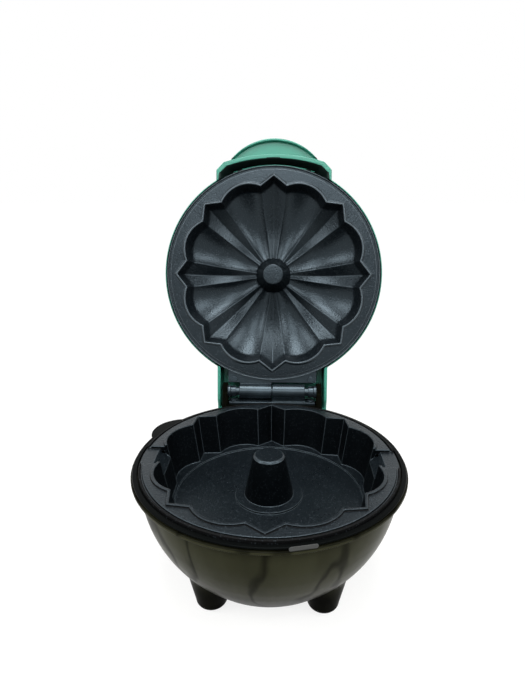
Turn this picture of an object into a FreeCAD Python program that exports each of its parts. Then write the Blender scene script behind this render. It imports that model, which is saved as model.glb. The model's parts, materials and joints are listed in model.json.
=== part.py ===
"""Mini fluted-cake maker, standing open: a black footed bowl with a deep lower mould and a centre post,
and a domed lid with a fluted upper mould on a knuckle hinge. Millimetres, +Z up. The origin is on the
table, under the axis of the bowl. The front is -Y. Lid pieces are drawn closed and then swung open."""
import FreeCAD, Part
import math
import os
from types import SimpleNamespace

import Sketcher

# Driving dimensions
SIZES = {
    # lower mould
    "mould_height": 61.0,
    "plate_radius": 59.0,
    "plate_thick": 2.3,
    "plate_flare": 0.25,
    "tip_radius": 54.5,
    "notch_radius": 49.2,
    "lobe_radius": 52.6,
    "notch_angle": 8.7,
    "lobe_count": 8,
    "mould_draft": 0.18,
    "mould_depth": 19.6,
    "mould_wall": 2.0,
    "mould_floor": 3.0,
    "bead_width": 1.6,
    "bead_height": 0.85,
    "floor_step_radius": 44.0,
    "floor_step": 0.8,
    "post_pad_radius": 15.9,
    "post_pad_height": 1.0,
    "post_foot_radius": 11.5,
    "post_top_radius": 7.3,
    "post_rise": 0.9,
    "post_bevel": 0.8,
    "vent_width": 15.2,
    "vent_depth": 1.2,
    "vent_ramp_radius": 52.5,
    "vent_ramp_depth": 5.0,
    "base_line_radius": 57.3,
    "base_line_width": 0.9,
    "base_line_depth": 0.8,
    "stud_radius": 3.6,
    "stud_circle": 24.0,
    "stud_length": 9.0,
    "screw_radius": 1.5,
    "screw_head_radius": 3.0,
    "screw_head_height": 2.0,
    "screw_clearance": 0.15,
    # bowl
    "bowl_radius": 59.2,
    "bowl_curve": 61.4,
    "bowl_knee_drop": 43.2,
    "bowl_bottom_radius": 26.0,
    "bowl_bottom": 6.0,
    "bowl_wall": 2.2,
    "lip_radius": 62.5,
    "lip_thick": 1.5,
    "leg_x": 25.0,
    "leg_y": 25.5,
    "leg_foot_radius": 7.2,
    "leg_top_radius": 11.6,
    "leg_length": 24.0,
    "leg_round": 3.4,
    "rear_foot_x": 15.5,
    "rear_foot_y": 57.5,
    "rear_foot_radius": 5.0,
    "pad_radius": 3.2,
    "pad_thick": 1.8,
    "pad_proud": 0.6,
    "heel_half_width": 24.0,
    "heel_front": 24.0,
    "heel_side_end": 56.0,
    "heel_rear": 70.0,
    "heel_bottom": 3.0,
    "heel_height": 36.0,
    "heel_slope_start": 54.0,
    "heel_slope_drop": 9.0,
    # trim ring
    "ring_radius": 61.9,
    "ring_gap": 0.35,
    "ring_wall": 0.7,
    "ring_slope": 0.3,
    "ring_lip": 0.7,
    "ring_drop": 1.0,
    "tab_angle": 151.5,
    "tab_reach": 66.4,
    "tab_radius": 15.0,
    "capsule_angle": -77.0,
    "capsule_width": 11.0,
    "capsule_height": 1.9,
    "capsule_proud": 0.3,
    # hinge
    "hinge_y": 67.2,
    "hinge_rise": 3.7,
    "lid_open_angle": 104.0,
    "pin_radius": 2.4,
    "pin_clearance": 0.05,
    "knuckle_radius": 4.3,
    "knuckle_end": 18.7,
    "knuckle_gap": 0.5,
    "ear_inner": 25.6,
    "ear_outer": 28.3,
    "ear_radius": 5.0,
    "ear_front": 57.4,
    "shelf_rear": 69.0,
    "shelf_drop": 5.6,
    "leaf_thick": 2.0,
    "leaf_drop": 1.2,
    "leaf_half_width": 24.8,
    "leaf_front": 62.6,
    "leaf_rear": 68.4,
    "leaf_screw_x": 22.2,
    "leaf_screw_radius": 1.2,
    "leaf_screw_head": 1.9,
    "leaf_screw_head_height": 1.0,
    "washer_radius": 3.6,
    "washer_thick": 1.7,
    "clip_radius": 3.1,
    "clip_thick": 3.0,
    "clip_slot": 2.2,
    "stop_half_width": 12.0,
    "stop_drop": 6.6,
    "stop_height": 6.0,
    "stop_gap": 0.5,
    # lid
    "closed_gap": 2.0,
    "lid_plate_radius": 60.2,
    "lid_line_radius": 58.4,
    "lid_line_width": 1.1,
    "lid_line_depth": 1.1,
    "lid_radius": 62.0,
    "lid_rim_radius": 61.4,
    "lid_rim_rise": 2.6,
    "lid_shoulder_rise": 8.0,
    "lid_shoulder_curve": 36.0,
    "lid_height": 61.0,
    "lid_wall": 2.2,
    "lid_seat_width": 1.7,
    "lid_seat_clearance": 0.3,
    "apron_rise": 1.2,
    "apron_wall": 1.5,
    "apron_half_width": 32.3,
    "apron_shoulder": 57.6,
    "apron_corner_x": 28.1,
    "apron_corner_y": 62.0,
    "apron_front": 66.2,
    "apron_height": 22.0,
    "apron_top_in": 9.0,
    "grip_half_width": 25.0,
    "grip_side": 64.2,
    "grip_front": 76.4,
    "grip_rise": 7.0,
    "grip_height": 7.0,
    "grip_border": 1.5,
    "grip_dish": 1.8,
    "cover_half_width": 31.6,
    "cover_wall": 1.8,
    "cover_rear": 79.6,
    "cover_rear_wall": 2.5,
    "cover_rise": 1.5,
    "cover_top": 21.0,
    "cover_round": 7.5,
    "leaf_tail_half_width": 25.5,
    "leaf_tail_end": 62.2,
    "leaf_tail_inner": 57.0,
    "leaf_tail_thick": 2.5,
    "lid_draft": 0.45,
    "lid_floor": 3.0,
    "lid_casting_wall": 2.6,
    "heater_seat": 1.2,
    "crown_depth": 15.0,
    "crown_ring": 22.0,
    "crown_curve": 32.0,
    "flute_slope": 0.1,
    "flute_sections": 9,
    "boss_top_radius": 5.6,
    "boss_foot_radius": 11.0,
    # heating and wiring
    "heater_circle": 36.0,
    "heater_radius": 2.6,
    "heater_gap": 50.0,
    "terminal_radius": 1.6,
    "terminal_length": 8.0,
    "shield_thick": 0.6,
    "shield_radius": 45.0,
    "shield_flat_radius": 40.5,
    "shield_rim": 7.0,
    "thermostat_radius": 8.0,
    "thermostat_height": 6.5,
    "fuse_radius": 2.0,
    "fuse_length": 16.0,
    "fuse_y": 15.0,
    "block_width": 20.0,
    "block_depth": 11.0,
    "block_height": 10.0,
    "block_y": 50.0,
    "block_bore": 1.7,
    "wire_radius": 1.0,
    "gland_bore": 3.3,
    "gland_radius": 5.0,
    "gland_flange": 6.6,
    "gland_flange_thick": 2.0,
    "gland_length": 10.0,
    "gland_height": 16.0,
    "lens_radius": 4.0,
    "lens_flange": 5.2,
    "lens_length": 7.0,
    "lens_proud": 1.2,
    "lamp_radius": 2.2,
    "lamp_length": 11.0,
    "fit_gap": 0.05,
}

doc = FreeCAD.newDocument("cake_maker")


class Size:
    """A number from the sheet, or a sum of such numbers, with the formula that binds to it."""

    def __init__(self, formula, value):
        self.formula = formula
        self.value = float(value)

    def __add__(self, other):
        other = size(other)
        return Size(f"({self.formula} + {other.formula})", self.value + other.value)

    def __sub__(self, other):
        other = size(other)
        return Size(f"({self.formula} - {other.formula})", self.value - other.value)

    def __mul__(self, other):
        other = size(other)
        return Size(f"({self.formula} * {other.formula})", self.value * other.value)

    def __truediv__(self, other):
        other = size(other)
        return Size(f"({self.formula} / {other.formula})", self.value / other.value)

    def __neg__(self):
        return Size(f"(-1 * {self.formula})", -self.value)

    __radd__ = __add__
    __rmul__ = __mul__

    def __rsub__(self, other):
        return size(other) - self

    def __float__(self):
        return self.value


def size(number):
    """A plain number as a Size."""
    return number if isinstance(number, Size) else Size(repr(float(number)), number)


def cosine(degrees):
    """Cosine of an angle held in degrees."""
    degrees = size(degrees)
    return Size(f"cos({degrees.formula} * 1 deg)", math.cos(math.radians(degrees.value)))


def sine(degrees):
    """Sine of an angle held in degrees."""
    degrees = size(degrees)
    return Size(f"sin({degrees.formula} * 1 deg)", math.sin(math.radians(degrees.value)))


def root(number):
    """Square root of a Size."""
    return Size(f"sqrt({number.formula})", math.sqrt(number.value))


def polar(radius, degrees):
    """A point on a circle round the axis."""
    return radius * cosine(degrees), radius * sine(degrees)


def make_sheet():
    """Write the driving dimensions to the sheet and give them back as Sizes."""
    sheet = doc.addObject("Spreadsheet::Sheet", "sizes")
    named = {}
    for row, (alias, value) in enumerate(SIZES.items(), start=1):
        sheet.set(f"A{row}", alias)
        sheet.set(f"B{row}", str(value))
        sheet.setAlias(f"B{row}", alias)
        named[alias] = Size(f"sizes.{alias}", value)
    doc.recompute()
    return SimpleNamespace(**named)


s = make_sheet()

# Levels and derived sizes that several pieces share
flange = s.mould_height
lip_top = flange - s.plate_thick
lip_bottom = lip_top - s.lip_thick
hinge_z = flange + s.hinge_rise
mould_bottom = flange - s.mould_depth - s.mould_floor
stud_bottom = mould_bottom - s.stud_length
shield_bottom = stud_bottom - s.shield_thick
lid_face = flange + s.closed_gap
lid_back = lid_face + s.plate_thick
groove_step = s.flute_slope * s.crown_curve
crown_deepest = s.crown_depth + s.flute_slope * s.crown_ring + s.flute_slope * groove_step / 2
crown_back = lid_face + crown_deepest + s.lid_floor
lobe_pitch = size(360) / s.lobe_count
knuckle_bore = s.pin_radius + s.pin_clearance
leaf_top = flange - s.leaf_drop
leaf_bottom = leaf_top - s.leaf_thick
shelf_bottom = flange - s.shelf_drop
hull_inside = s.bowl_radius - s.bowl_wall
screw_hole = s.screw_radius + s.screw_clearance
bowl_floor = s.bowl_bottom + s.bowl_wall


def vector(point):
    """A plane vector from a pair of Sizes."""
    return FreeCAD.Vector(float(point[0]), float(point[1]), 0)


def new_body(name):
    """An empty body that becomes the node of that name."""
    return doc.addObject("PartDesign::Body", name)


def new_sketch(body, name, plane, lift=None):
    """A sketch on one of the body's own origin planes, moved along the plane's normal."""
    sketch = body.newObject("Sketcher::SketchObject", name)
    support = next(item for item in body.Origin.OriginFeatures if item.Role == plane)
    sketch.AttachmentSupport = [(support, "")]
    sketch.MapMode = "FlatFace"
    if lift is not None:
        sketch.setExpression("AttachmentOffset.Base.z", size(lift).formula)
    return sketch


def pin_point(sketch, geometry, place, point):
    """Hold a point of the sketch at a pair of Sizes."""
    for kind, along in (("DistanceX", size(point[0])), ("DistanceY", size(point[1]))):
        index = sketch.addConstraint(Sketcher.Constraint(kind, -1, 1, geometry, place, along.value))
        sketch.setExpression(f"Constraints[{index}]", along.formula)


def arc_through(first, middle, last):
    """An arc through three points, and whether it runs the way that the points do."""
    a, b, c = vector(first), vector(middle), vector(last)
    circle = Part.Circle(a, b, c)
    turn = (b - a).cross(c - b).z
    begin, end = (a, c) if turn > 0 else (c, a)
    angles = [math.atan2(p.y - circle.Center.y, p.x - circle.Center.x) for p in (begin, end)]
    if angles[1] < angles[0]:
        angles[1] += 2 * math.pi
    upright = Part.Circle(circle.Center, FreeCAD.Vector(0, 0, 1), circle.Radius)
    return Part.ArcOfCircle(upright, *angles), turn > 0


def draw_outline(sketch, corners):
    """Draw a closed outline. Each corner is (x, y), or (x, y, via) where an arc leaves it through via."""
    edges = []
    for index, corner in enumerate(corners):
        following = corners[(index + 1) % len(corners)]
        if len(corner) == 2:
            edge = sketch.addGeometry(Part.LineSegment(vector(corner), vector(following)), False)
            edges.append((edge, 1, 2))
        else:
            arc, forward = arc_through(corner, corner[2], following)
            edge = sketch.addGeometry(arc, False)
            edges.append((edge, 1, 2) if forward else (edge, 2, 1))
    for index, (edge, start, end) in enumerate(edges):
        after, after_start, _ = edges[(index + 1) % len(edges)]
        sketch.addConstraint(Sketcher.Constraint("Coincident", edge, end, after, after_start))
    for corner, (edge, start, end) in zip(corners, edges):
        pin_point(sketch, edge, start, corner)
        if len(corner) == 3:
            mark = sketch.addGeometry(Part.Point(vector(corner[2])), True)
            pin_point(sketch, mark, 1, corner[2])
            sketch.addConstraint(Sketcher.Constraint("PointOnObject", mark, 1, edge))
    return sketch


def draw_circle(sketch, centre, radius):
    """Draw a circle of a given centre and radius."""
    shape = Part.Circle(vector(centre), FreeCAD.Vector(0, 0, 1), float(radius))
    edge = sketch.addGeometry(shape, False)
    pin_point(sketch, edge, 3, centre)
    index = sketch.addConstraint(Sketcher.Constraint("Radius", edge, float(radius)))
    sketch.setExpression(f"Constraints[{index}]", size(radius).formula)
    return sketch


def add_feature(body, kind, name, sketch, **settings):
    """Add a feature of the body. A Size given as a setting is bound to its formula."""
    item = body.newObject(f"PartDesign::{kind}", name)
    item.Profile = sketch
    for key, value in settings.items():
        if isinstance(value, Size):
            item.setExpression(key, value.formula)
        else:
            setattr(item, key, value)
    return item


def turn_profile(body, kind, name, corners, angle=360.0, plane="XZ_Plane", axis="V_Axis"):
    """Turn an outline round an axis, adding (Revolution) or cutting (Groove)."""
    sketch = draw_outline(new_sketch(body, f"{name}_profile", plane), corners)
    return add_feature(body, kind, name, sketch, ReferenceAxis=(sketch, [axis]), Angle=angle)


def across(body, kind, name, corners, width):
    """A side outline, run to both sides of the middle plane over a full width."""
    sketch = draw_outline(new_sketch(body, f"{name}_profile", "YZ_Plane"), corners)
    return add_feature(body, kind, name, sketch, SideType="Symmetric", Length=width)


def raised(body, kind, name, corners, lift, height, upward=True):
    """A plan outline at a level, padded or pocketed upwards or downwards."""
    sketch = draw_outline(new_sketch(body, f"{name}_plan", "XY_Plane", lift), corners)
    backward = upward if kind == "Pocket" else not upward
    return add_feature(body, kind, name, sketch, Length=height, Reversed=backward)


def discs(body, kind, name, centres, radius, lift, height, upward=True, plane="XY_Plane", **settings):
    """Circles at a level, padded or pocketed along the plane's normal."""
    sketch = new_sketch(body, f"{name}_plan", plane, lift)
    for centre in centres:
        draw_circle(sketch, centre, radius)
    backward = upward if kind == "Pocket" else not upward
    return add_feature(body, kind, name, sketch, Length=height, Reversed=backward, **settings)


def lofted(body, kind, name, outlines):
    """A ruled loft through plan outlines, each given as (corners, level)."""
    sketches = []
    for index, (corners, lift) in enumerate(outlines):
        sketch = new_sketch(body, f"{name}_plan{index}", "XY_Plane", lift)
        sketches.append(draw_outline(sketch, corners))
    return add_feature(body, kind, name, sketches[0], Sections=sketches[1:], Ruled=True)


def ring_of(radius, count, first=0.0):
    """Evenly spread points on a circle."""
    return [polar(radius, first + 360.0 * index / count) for index in range(count)]


def cake_outline(outset, vented=False):
    """The fluted outline of the cake: a rounded lobe between each two pointed tips. A vent takes its tip's place."""
    corners = []
    count = int(s.lobe_count.value)
    for index in range(count):
        tip_angle = lobe_pitch * index
        notch = s.notch_radius + outset
        if not (vented and index % (count // 2) == 0):
            corners.append(polar(s.tip_radius + outset, tip_angle))
        leaving = polar(notch, tip_angle + s.notch_angle)
        crest = polar(s.lobe_radius + outset, tip_angle + lobe_pitch / 2)
        corners.append((*leaving, crest))
        corners.append(polar(notch, tip_angle + lobe_pitch - s.notch_angle))
    return corners


def make_base_mould():
    """Lower cast mould: flange, bead, drafted scalloped well, stepped floor, centre post and side vents."""
    body = new_body("base_mould")
    turn_profile(body, "Revolution", "mould_flange", [
        (size(0), lip_top),
        (s.plate_radius + s.plate_flare, lip_top),
        (s.plate_radius, flange),
        (size(0), flange),
    ])
    raised(body, "Pad", "mould_bead", cake_outline(s.bead_width, vented=True), flange, s.bead_height)
    rim_level = flange - s.plate_thick / 2
    floor_level = flange - s.mould_depth
    top_level = flange + s.bead_height * 2
    lofted(body, "AdditiveLoft", "mould_tub", [
        (cake_outline(s.mould_wall - s.mould_draft * s.plate_thick / 2), rim_level),
        (cake_outline(s.mould_wall - s.mould_draft * (s.mould_depth + s.mould_floor)), mould_bottom),
    ])
    lofted(body, "SubtractiveLoft", "mould_well", [
        (cake_outline(s.mould_draft * s.bead_height * 2, vented=True), top_level),
        (cake_outline(-s.mould_draft * s.mould_depth, vented=True), floor_level),
    ])
    discs(body, "Pocket", "floor_recess", [(size(0), size(0))], s.floor_step_radius,
          floor_level, s.floor_step, upward=False)
    recess = floor_level - s.floor_step
    post_top = flange + s.post_rise
    turn_profile(body, "Revolution", "centre_post", [
        (size(0), recess - s.mould_floor / 2),
        (s.post_pad_radius, recess - s.mould_floor / 2),
        (s.post_pad_radius, recess + s.post_pad_height),
        (s.post_foot_radius, recess + s.post_pad_height),
        (s.post_top_radius, post_top - s.post_bevel),
        (s.post_top_radius - s.post_bevel, post_top),
        (size(0), post_top),
    ])
    vent = new_sketch(body, "vent_profile", "XZ_Plane")
    for side in (1, -1):
        outer = (s.plate_radius + s.plate_flare * 2) * side
        ramp_end = (s.vent_ramp_radius - s.vent_ramp_depth) * side
        draw_outline(vent, [
            (outer, top_level),
            (outer, flange - s.vent_depth),
            (s.vent_ramp_radius * side, flange - s.vent_depth),
            (ramp_end, flange - s.vent_depth - s.vent_ramp_depth),
            (ramp_end, top_level),
        ])
    add_feature(body, "Pocket", "side_vents", vent, SideType="Symmetric", Length=s.vent_width)
    edge_line(body, flange, s.base_line_radius, s.base_line_width, s.base_line_depth)
    studs = ring_of(s.stud_circle, 3, 90.0)
    discs(body, "Pad", "studs", studs, s.stud_radius, mould_bottom, s.stud_length, upward=False)
    discs(body, "Pocket", "stud_holes", studs, screw_hole, stud_bottom, s.stud_length)
    return body


def edge_line(body, level, inner, width, depth):
    """A turned groove near the edge of a flange."""
    return turn_profile(body, "Groove", "edge_line", [
        (inner, level - depth),
        (inner + width, level - depth),
        (inner + width, level + depth),
        (inner, level + depth),
    ])


def make_trim_ring():
    """Thin ring round the lower mould, with a shadow gap under its lip and a thumb tab at the left rear."""
    body = new_body("trim_ring")
    inside = s.plate_radius + s.plate_flare + s.ring_gap
    top = flange - s.ring_drop
    lip_under = top - s.ring_lip
    turn_profile(body, "Revolution", "ring_section", [
        (inside, lip_top),
        (inside + s.ring_wall, lip_top),
        (inside + s.ring_wall, lip_under),
        (s.ring_radius, lip_under),
        (s.ring_radius - s.ring_slope, top),
        (inside, top),
    ])
    centre = polar(s.tab_reach - s.tab_radius, s.tab_angle)
    discs(body, "Pad", "thumb_tab", [centre], s.tab_radius, lip_under, s.ring_lip)
    discs(body, "Pocket", "ring_opening", [(size(0), size(0))], inside, lip_top, s.plate_thick * 2)
    return body


def make_rim_tab():
    """Small capsule that fills the shadow gap at the front of the trim ring."""
    half = s.capsule_width / 2
    end = s.capsule_height / 2
    level = lip_top + s.capsule_height / 2
    body = new_body("rim_tab")
    start = s.plate_radius + s.plate_flare + s.ring_gap + s.ring_wall + s.fit_gap
    sketch = new_sketch(body, "capsule_front", "YZ_Plane", s.ring_radius + s.fit_gap)
    draw_outline(sketch, [
        (-half + end, level - end),
        (half - end, level - end, (half, level)),
        (half - end, level + end),
        (-half + end, level + end, (-half, level)),
    ])
    add_feature(body, "Pad", "capsule", sketch, Length=s.capsule_proud)
    tongue = new_sketch(body, "tongue_front", "YZ_Plane", start)
    depth = s.ring_radius + s.fit_gap - start
    tongue_top = flange - s.ring_drop - s.ring_lip
    draw_outline(tongue, [
        (-half + end, lip_top),
        (half - end, lip_top),
        (half - end, tongue_top),
        (-half + end, tongue_top),
    ])
    add_feature(body, "Pad", "tongue", tongue, Length=depth)
    turn = FreeCAD.Rotation(FreeCAD.Vector(0, 0, 1), s.capsule_angle.value)
    body.Placement = FreeCAD.Placement(FreeCAD.Vector(), turn)
    return body


def bowl_section(inset, floor, top):
    """Half section of the bowl, set in from its outside by a wall."""
    centre_z = lip_bottom
    centre_r = s.bowl_radius - s.bowl_curve
    radius = s.bowl_curve - inset

    def side(drop):
        return centre_r + root(radius * radius - drop * drop), centre_z - drop

    knee_r, knee_z = side(s.bowl_knee_drop)
    bottom_r = s.bowl_bottom_radius
    mid = ((knee_r + bottom_r) / 2 + (knee_z - floor) / 6, (knee_z + floor) / 2 - (knee_r - bottom_r) / 10)
    return [
        (size(0), floor),
        (bottom_r, floor, mid),
        (knee_r, knee_z, side(s.bowl_knee_drop / 2)),
        (s.bowl_radius - inset, centre_z),
        (s.bowl_radius - inset, top),
        (size(0), top),
    ]


def make_base_housing():
    """Bowl moulding: hollow bowl with a lip, tapered legs, rear heel, hinge ears, lid stop and screw posts."""
    body = new_body("base_housing")
    turn_profile(body, "Revolution", "bowl", bowl_section(size(0), s.bowl_bottom, lip_top))
    turn_profile(body, "Revolution", "lip", [
        (hull_inside, lip_bottom),
        (s.lip_radius, lip_bottom),
        (s.lip_radius, lip_top),
        (hull_inside, lip_top),
    ])
    legs = [(s.leg_x, -s.leg_y), (-s.leg_x, -s.leg_y)]
    feet = [(s.rear_foot_x, s.rear_foot_y), (-s.rear_foot_x, s.rear_foot_y)]
    for side, label in ((1, "right"), (-1, "left")):
        round_leg(body, f"leg_{label}", s.leg_x * side, side)
    discs(body, "Pad", "feet", feet, s.rear_foot_radius, s.pad_proud, s.heel_bottom)
    heel_top = s.heel_bottom + s.heel_height
    raised(body, "Pad", "heel", heel_outline(size(0)), s.heel_bottom, s.heel_height)
    across(body, "Pocket", "heel_slope", [
        (s.heel_slope_start, heel_top + s.heel_slope_drop),
        (s.heel_slope_start, heel_top),
        (s.heel_rear + s.bowl_wall, heel_top - s.heel_slope_drop),
        (s.heel_rear + s.bowl_wall, heel_top + s.heel_slope_drop),
    ], s.heel_half_width * 4)
    ear_top = hinge_z + s.ear_radius
    across(body, "Pad", "ears", [
        (hull_inside - s.bowl_wall, shelf_bottom),
        (s.shelf_rear, shelf_bottom),
        (s.hinge_y + s.ear_radius, hinge_z, (s.hinge_y, ear_top)),
        (s.hinge_y - s.ear_radius, hinge_z),
        (s.ear_front, lip_top),
        (hull_inside - s.bowl_wall, lip_top),
    ], s.ear_outer * 2)
    across(body, "Pocket", "hinge_space", [
        (hull_inside - s.bowl_wall, lip_top),
        (s.leaf_front - s.ring_gap, lip_top),
        (s.leaf_front - s.ring_gap, leaf_bottom),
        (s.shelf_rear + s.ear_radius, leaf_bottom),
        (s.shelf_rear + s.ear_radius, ear_top + s.ear_radius),
        (hull_inside - s.bowl_wall, ear_top + s.ear_radius),
    ], s.ear_inner * 2)
    stop_top = flange - s.stop_drop
    across(body, "Pad", "lid_stop", [
        (hull_inside - s.bowl_wall, stop_top - s.stop_height),
        (stop_face(), stop_top - s.stop_height),
        (stop_face(), stop_top),
        (hull_inside - s.bowl_wall, stop_top),
    ], s.stop_half_width * 2)
    turn_profile(body, "Groove", "bowl_inside", bowl_section(s.bowl_wall, bowl_floor, lip_top + s.lip_thick))
    cavity_top = heel_top - s.heel_slope_drop - s.bowl_wall
    raised(body, "Pocket", "heel_inside", heel_outline(s.bowl_wall), cavity_top,
           cavity_top - s.heel_bottom - s.bowl_wall, upward=False)
    posts = ring_of(s.stud_circle, 3, 90.0)
    discs(body, "Pad", "posts", posts, s.screw_head_radius + s.bowl_wall, s.bowl_bottom,
          shield_bottom - s.bowl_bottom)
    discs(body, "Pocket", "post_holes", posts, screw_hole, s.heel_bottom, s.mould_height)
    discs(body, "Pocket", "head_wells", posts, s.screw_head_radius + s.screw_clearance, s.heel_bottom,
          s.bowl_bottom + s.screw_head_height * 2 - s.heel_bottom)
    pin_line = [(s.hinge_y, hinge_z)]
    discs(body, "Pocket", "pin_holes", pin_line, knuckle_bore, size(0), s.ear_outer * 4,
          plane="YZ_Plane", SideType="Symmetric")
    discs(body, "Pocket", "pad_wells", legs + feet, s.pad_radius + s.fit_gap, s.pad_proud, s.pad_thick - s.pad_proud)
    discs(body, "Pocket", "gland_hole", [(size(0), s.gland_height)], s.gland_radius + s.fit_gap,
          -s.heel_rear + s.bowl_wall * 2, s.bowl_wall * 4, upward=False, plane="XZ_Plane")
    leaf_screws = [(s.leaf_screw_x, leaf_screw_y()), (-s.leaf_screw_x, leaf_screw_y())]
    discs(body, "Pocket", "leaf_screw_holes", leaf_screws, s.leaf_screw_radius + s.fit_gap, shelf_bottom,
          s.shelf_drop)
    return body


def round_leg(body, name, middle, side):
    """One tapered front leg with a rounded foot, turned about its own upright line."""
    low = s.pad_proud
    top = low + s.leg_length
    flat = s.leg_foot_radius - s.leg_round
    bend = s.leg_round * cosine(45)
    sketch = new_sketch(body, f"{name}_profile", "XZ_Plane", s.leg_y)
    draw_outline(sketch, [
        (middle, low),
        (middle + flat * side, low, (middle + (flat + bend) * side, low + s.leg_round - bend)),
        (middle + s.leg_foot_radius * side, low + s.leg_round),
        (middle + s.leg_top_radius * side, top),
        (middle, top),
    ])
    line = sketch.addGeometry(Part.LineSegment(vector((middle, low)), vector((middle, top))), True)
    pin_point(sketch, line, 1, (middle, low))
    pin_point(sketch, line, 2, (middle, top))
    return add_feature(body, "Revolution", name, sketch, ReferenceAxis=(sketch, ["Axis0"]), Angle=360.0)


def stop_face():
    """Depth of the lid stop: just clear of the edge of the hinge cover when the lid is fully open."""
    reach = s.cover_rear - s.hinge_y
    return s.hinge_y + reach * cosine(s.lid_open_angle) + s.cover_rise * sine(s.lid_open_angle) - s.stop_gap


def leaf_screw_y():
    """Depth of the lower leaf's two screws."""
    return s.leaf_front + s.leaf_screw_head + s.fit_gap


def heel_outline(inset):
    """Plan of the rear heel, set in by a wall: straight sides and a rounded rear."""
    half = s.heel_half_width - inset
    return [
        (-half, s.heel_front),
        (half, s.heel_front),
        (half, s.heel_side_end, (size(0), s.heel_rear - inset)),
        (-half, s.heel_side_end),
    ]


def make_base_hinge_leaf():
    """Lower hinge leaf on the shelf behind the rim, with the right-hand knuckle."""
    body = new_body("base_hinge_leaf")
    half = s.leaf_half_width
    raised(body, "Pad", "leaf_plate", [
        (-half, s.leaf_front),
        (half, s.leaf_front),
        (half, s.leaf_rear),
        (-half, s.leaf_rear),
    ], leaf_bottom, s.leaf_thick)
    knuckle(body, s.knuckle_gap / 2, [
        (s.hinge_y - s.knuckle_radius * 0.7, leaf_bottom),
        (s.hinge_y + s.leaf_thick / 2, leaf_bottom),
        (s.hinge_y + s.leaf_thick / 2, hinge_z),
        (s.hinge_y - s.knuckle_radius * 0.7, hinge_z),
    ])
    centres = [(s.leaf_screw_x, leaf_screw_y()), (-s.leaf_screw_x, leaf_screw_y())]
    discs(body, "Pocket", "screw_holes", centres, s.leaf_screw_radius + s.fit_gap, leaf_bottom, s.leaf_thick)
    return body


def knuckle(body, start, web):
    """A barrel on the hinge line with the web that carries it, bored for the pin."""
    length = s.knuckle_end - s.knuckle_gap / 2
    pin_line = [(s.hinge_y, hinge_z)]
    discs(body, "Pad", "barrel", pin_line, s.knuckle_radius, start, length, plane="YZ_Plane")
    sketch = draw_outline(new_sketch(body, "web_profile", "YZ_Plane", start), web)
    add_feature(body, "Pad", "web", sketch, Length=length)
    discs(body, "Pocket", "bore", pin_line, knuckle_bore, size(0), s.ear_outer * 4,
          plane="YZ_Plane", SideType="Symmetric")


def lid_open():
    """The turn that swings a closed lid piece to its open resting place."""
    hinge = FreeCAD.Vector(0, s.hinge_y.value, hinge_z.value)
    swing = FreeCAD.Rotation(FreeCAD.Vector(1, 0, 0), -s.lid_open_angle.value)
    return FreeCAD.Placement(FreeCAD.Vector(), swing, hinge)


def make_lid_hinge_leaf():
    """Upper hinge leaf behind the upper mould's flange, with the left-hand knuckle."""
    body = new_body("lid_hinge_leaf")
    half = s.leaf_tail_half_width
    inner = s.leaf_tail_inner
    shoulder = root(inner * inner - half * half)
    raised(body, "Pad", "tail", [
        (half, shoulder, (size(0), inner)),
        (-half, shoulder),
        (-half, s.leaf_tail_end),
        (half, s.leaf_tail_end),
    ], lid_back, s.leaf_tail_thick)
    knuckle(body, -s.knuckle_end, [
        (s.leaf_tail_end - s.leaf_tail_thick, lid_back),
        (s.hinge_y, lid_back),
        (s.hinge_y, lid_back + s.leaf_tail_thick),
        (s.leaf_tail_end - s.leaf_tail_thick, lid_back + s.leaf_tail_thick),
    ])
    discs(body, "Pocket", "screw_holes", lid_screw_places(), s.leaf_screw_radius + s.fit_gap, lid_back,
          s.leaf_tail_thick)
    body.Placement = lid_open()
    return body


def lid_screw_places():
    """Plan places of the two screws that hold the upper leaf to the lid."""
    return [(s.leaf_screw_x, leaf_tail_middle()), (-s.leaf_screw_x, leaf_tail_middle())]


def leaf_tail_middle():
    """Depth of the upper leaf's screws."""
    return s.leaf_tail_end - s.leaf_screw_head - s.fit_gap


def make_hinge_pin():
    """Plain pin through the ears and both knuckles."""
    body = new_body("hinge_pin")
    discs(body, "Pad", "shank", [(s.hinge_y, hinge_z)], s.pin_radius, size(0), s.ear_outer * 2,
          plane="YZ_Plane", SideType="Symmetric")
    return body


def pin_rings(name, outside, start, thick):
    """One ring on the pin at each end, as a pair of solids."""
    rings = []
    for side, label in ((1, "right"), (-1, "left")):
        body = new_body(f"{name}_{label}")
        from_middle = start if side > 0 else -start - thick
        pin_line = [(s.hinge_y, hinge_z)]
        discs(body, "Pad", "ring", pin_line, outside, from_middle, thick, plane="YZ_Plane")
        discs(body, "Pocket", "bore", pin_line, knuckle_bore, size(0), s.ear_outer * 4,
              plane="YZ_Plane", SideType="Symmetric")
        rings.append(body)
    return rings


def make_hinge_washers():
    """A washer against each ear."""
    start = s.ear_inner - s.washer_thick - s.fit_gap
    return group("hinge_washers", pin_rings("washer", s.washer_radius, start, s.washer_thick))


def make_hinge_clips():
    """A slotted spring clip between each washer and its knuckle."""
    start = s.ear_inner - s.washer_thick - s.clip_thick - s.fit_gap * 2
    clips = pin_rings("clip", s.clip_radius, start, s.clip_thick)
    for body in clips:
        across(body, "Pocket", "slot", [
            (s.hinge_y - s.clip_slot / 2, hinge_z),
            (s.hinge_y + s.clip_slot / 2, hinge_z),
            (s.hinge_y + s.clip_slot / 2, hinge_z + s.clip_radius * 2),
            (s.hinge_y - s.clip_slot / 2, hinge_z + s.clip_radius * 2),
        ], s.ear_outer * 4)
    return group("hinge_clips", clips)


def group(name, pieces):
    """Several equal pieces as the separate solids of one node."""
    compound = doc.addObject("Part::Compound", name)
    compound.Links = pieces
    return compound


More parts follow.
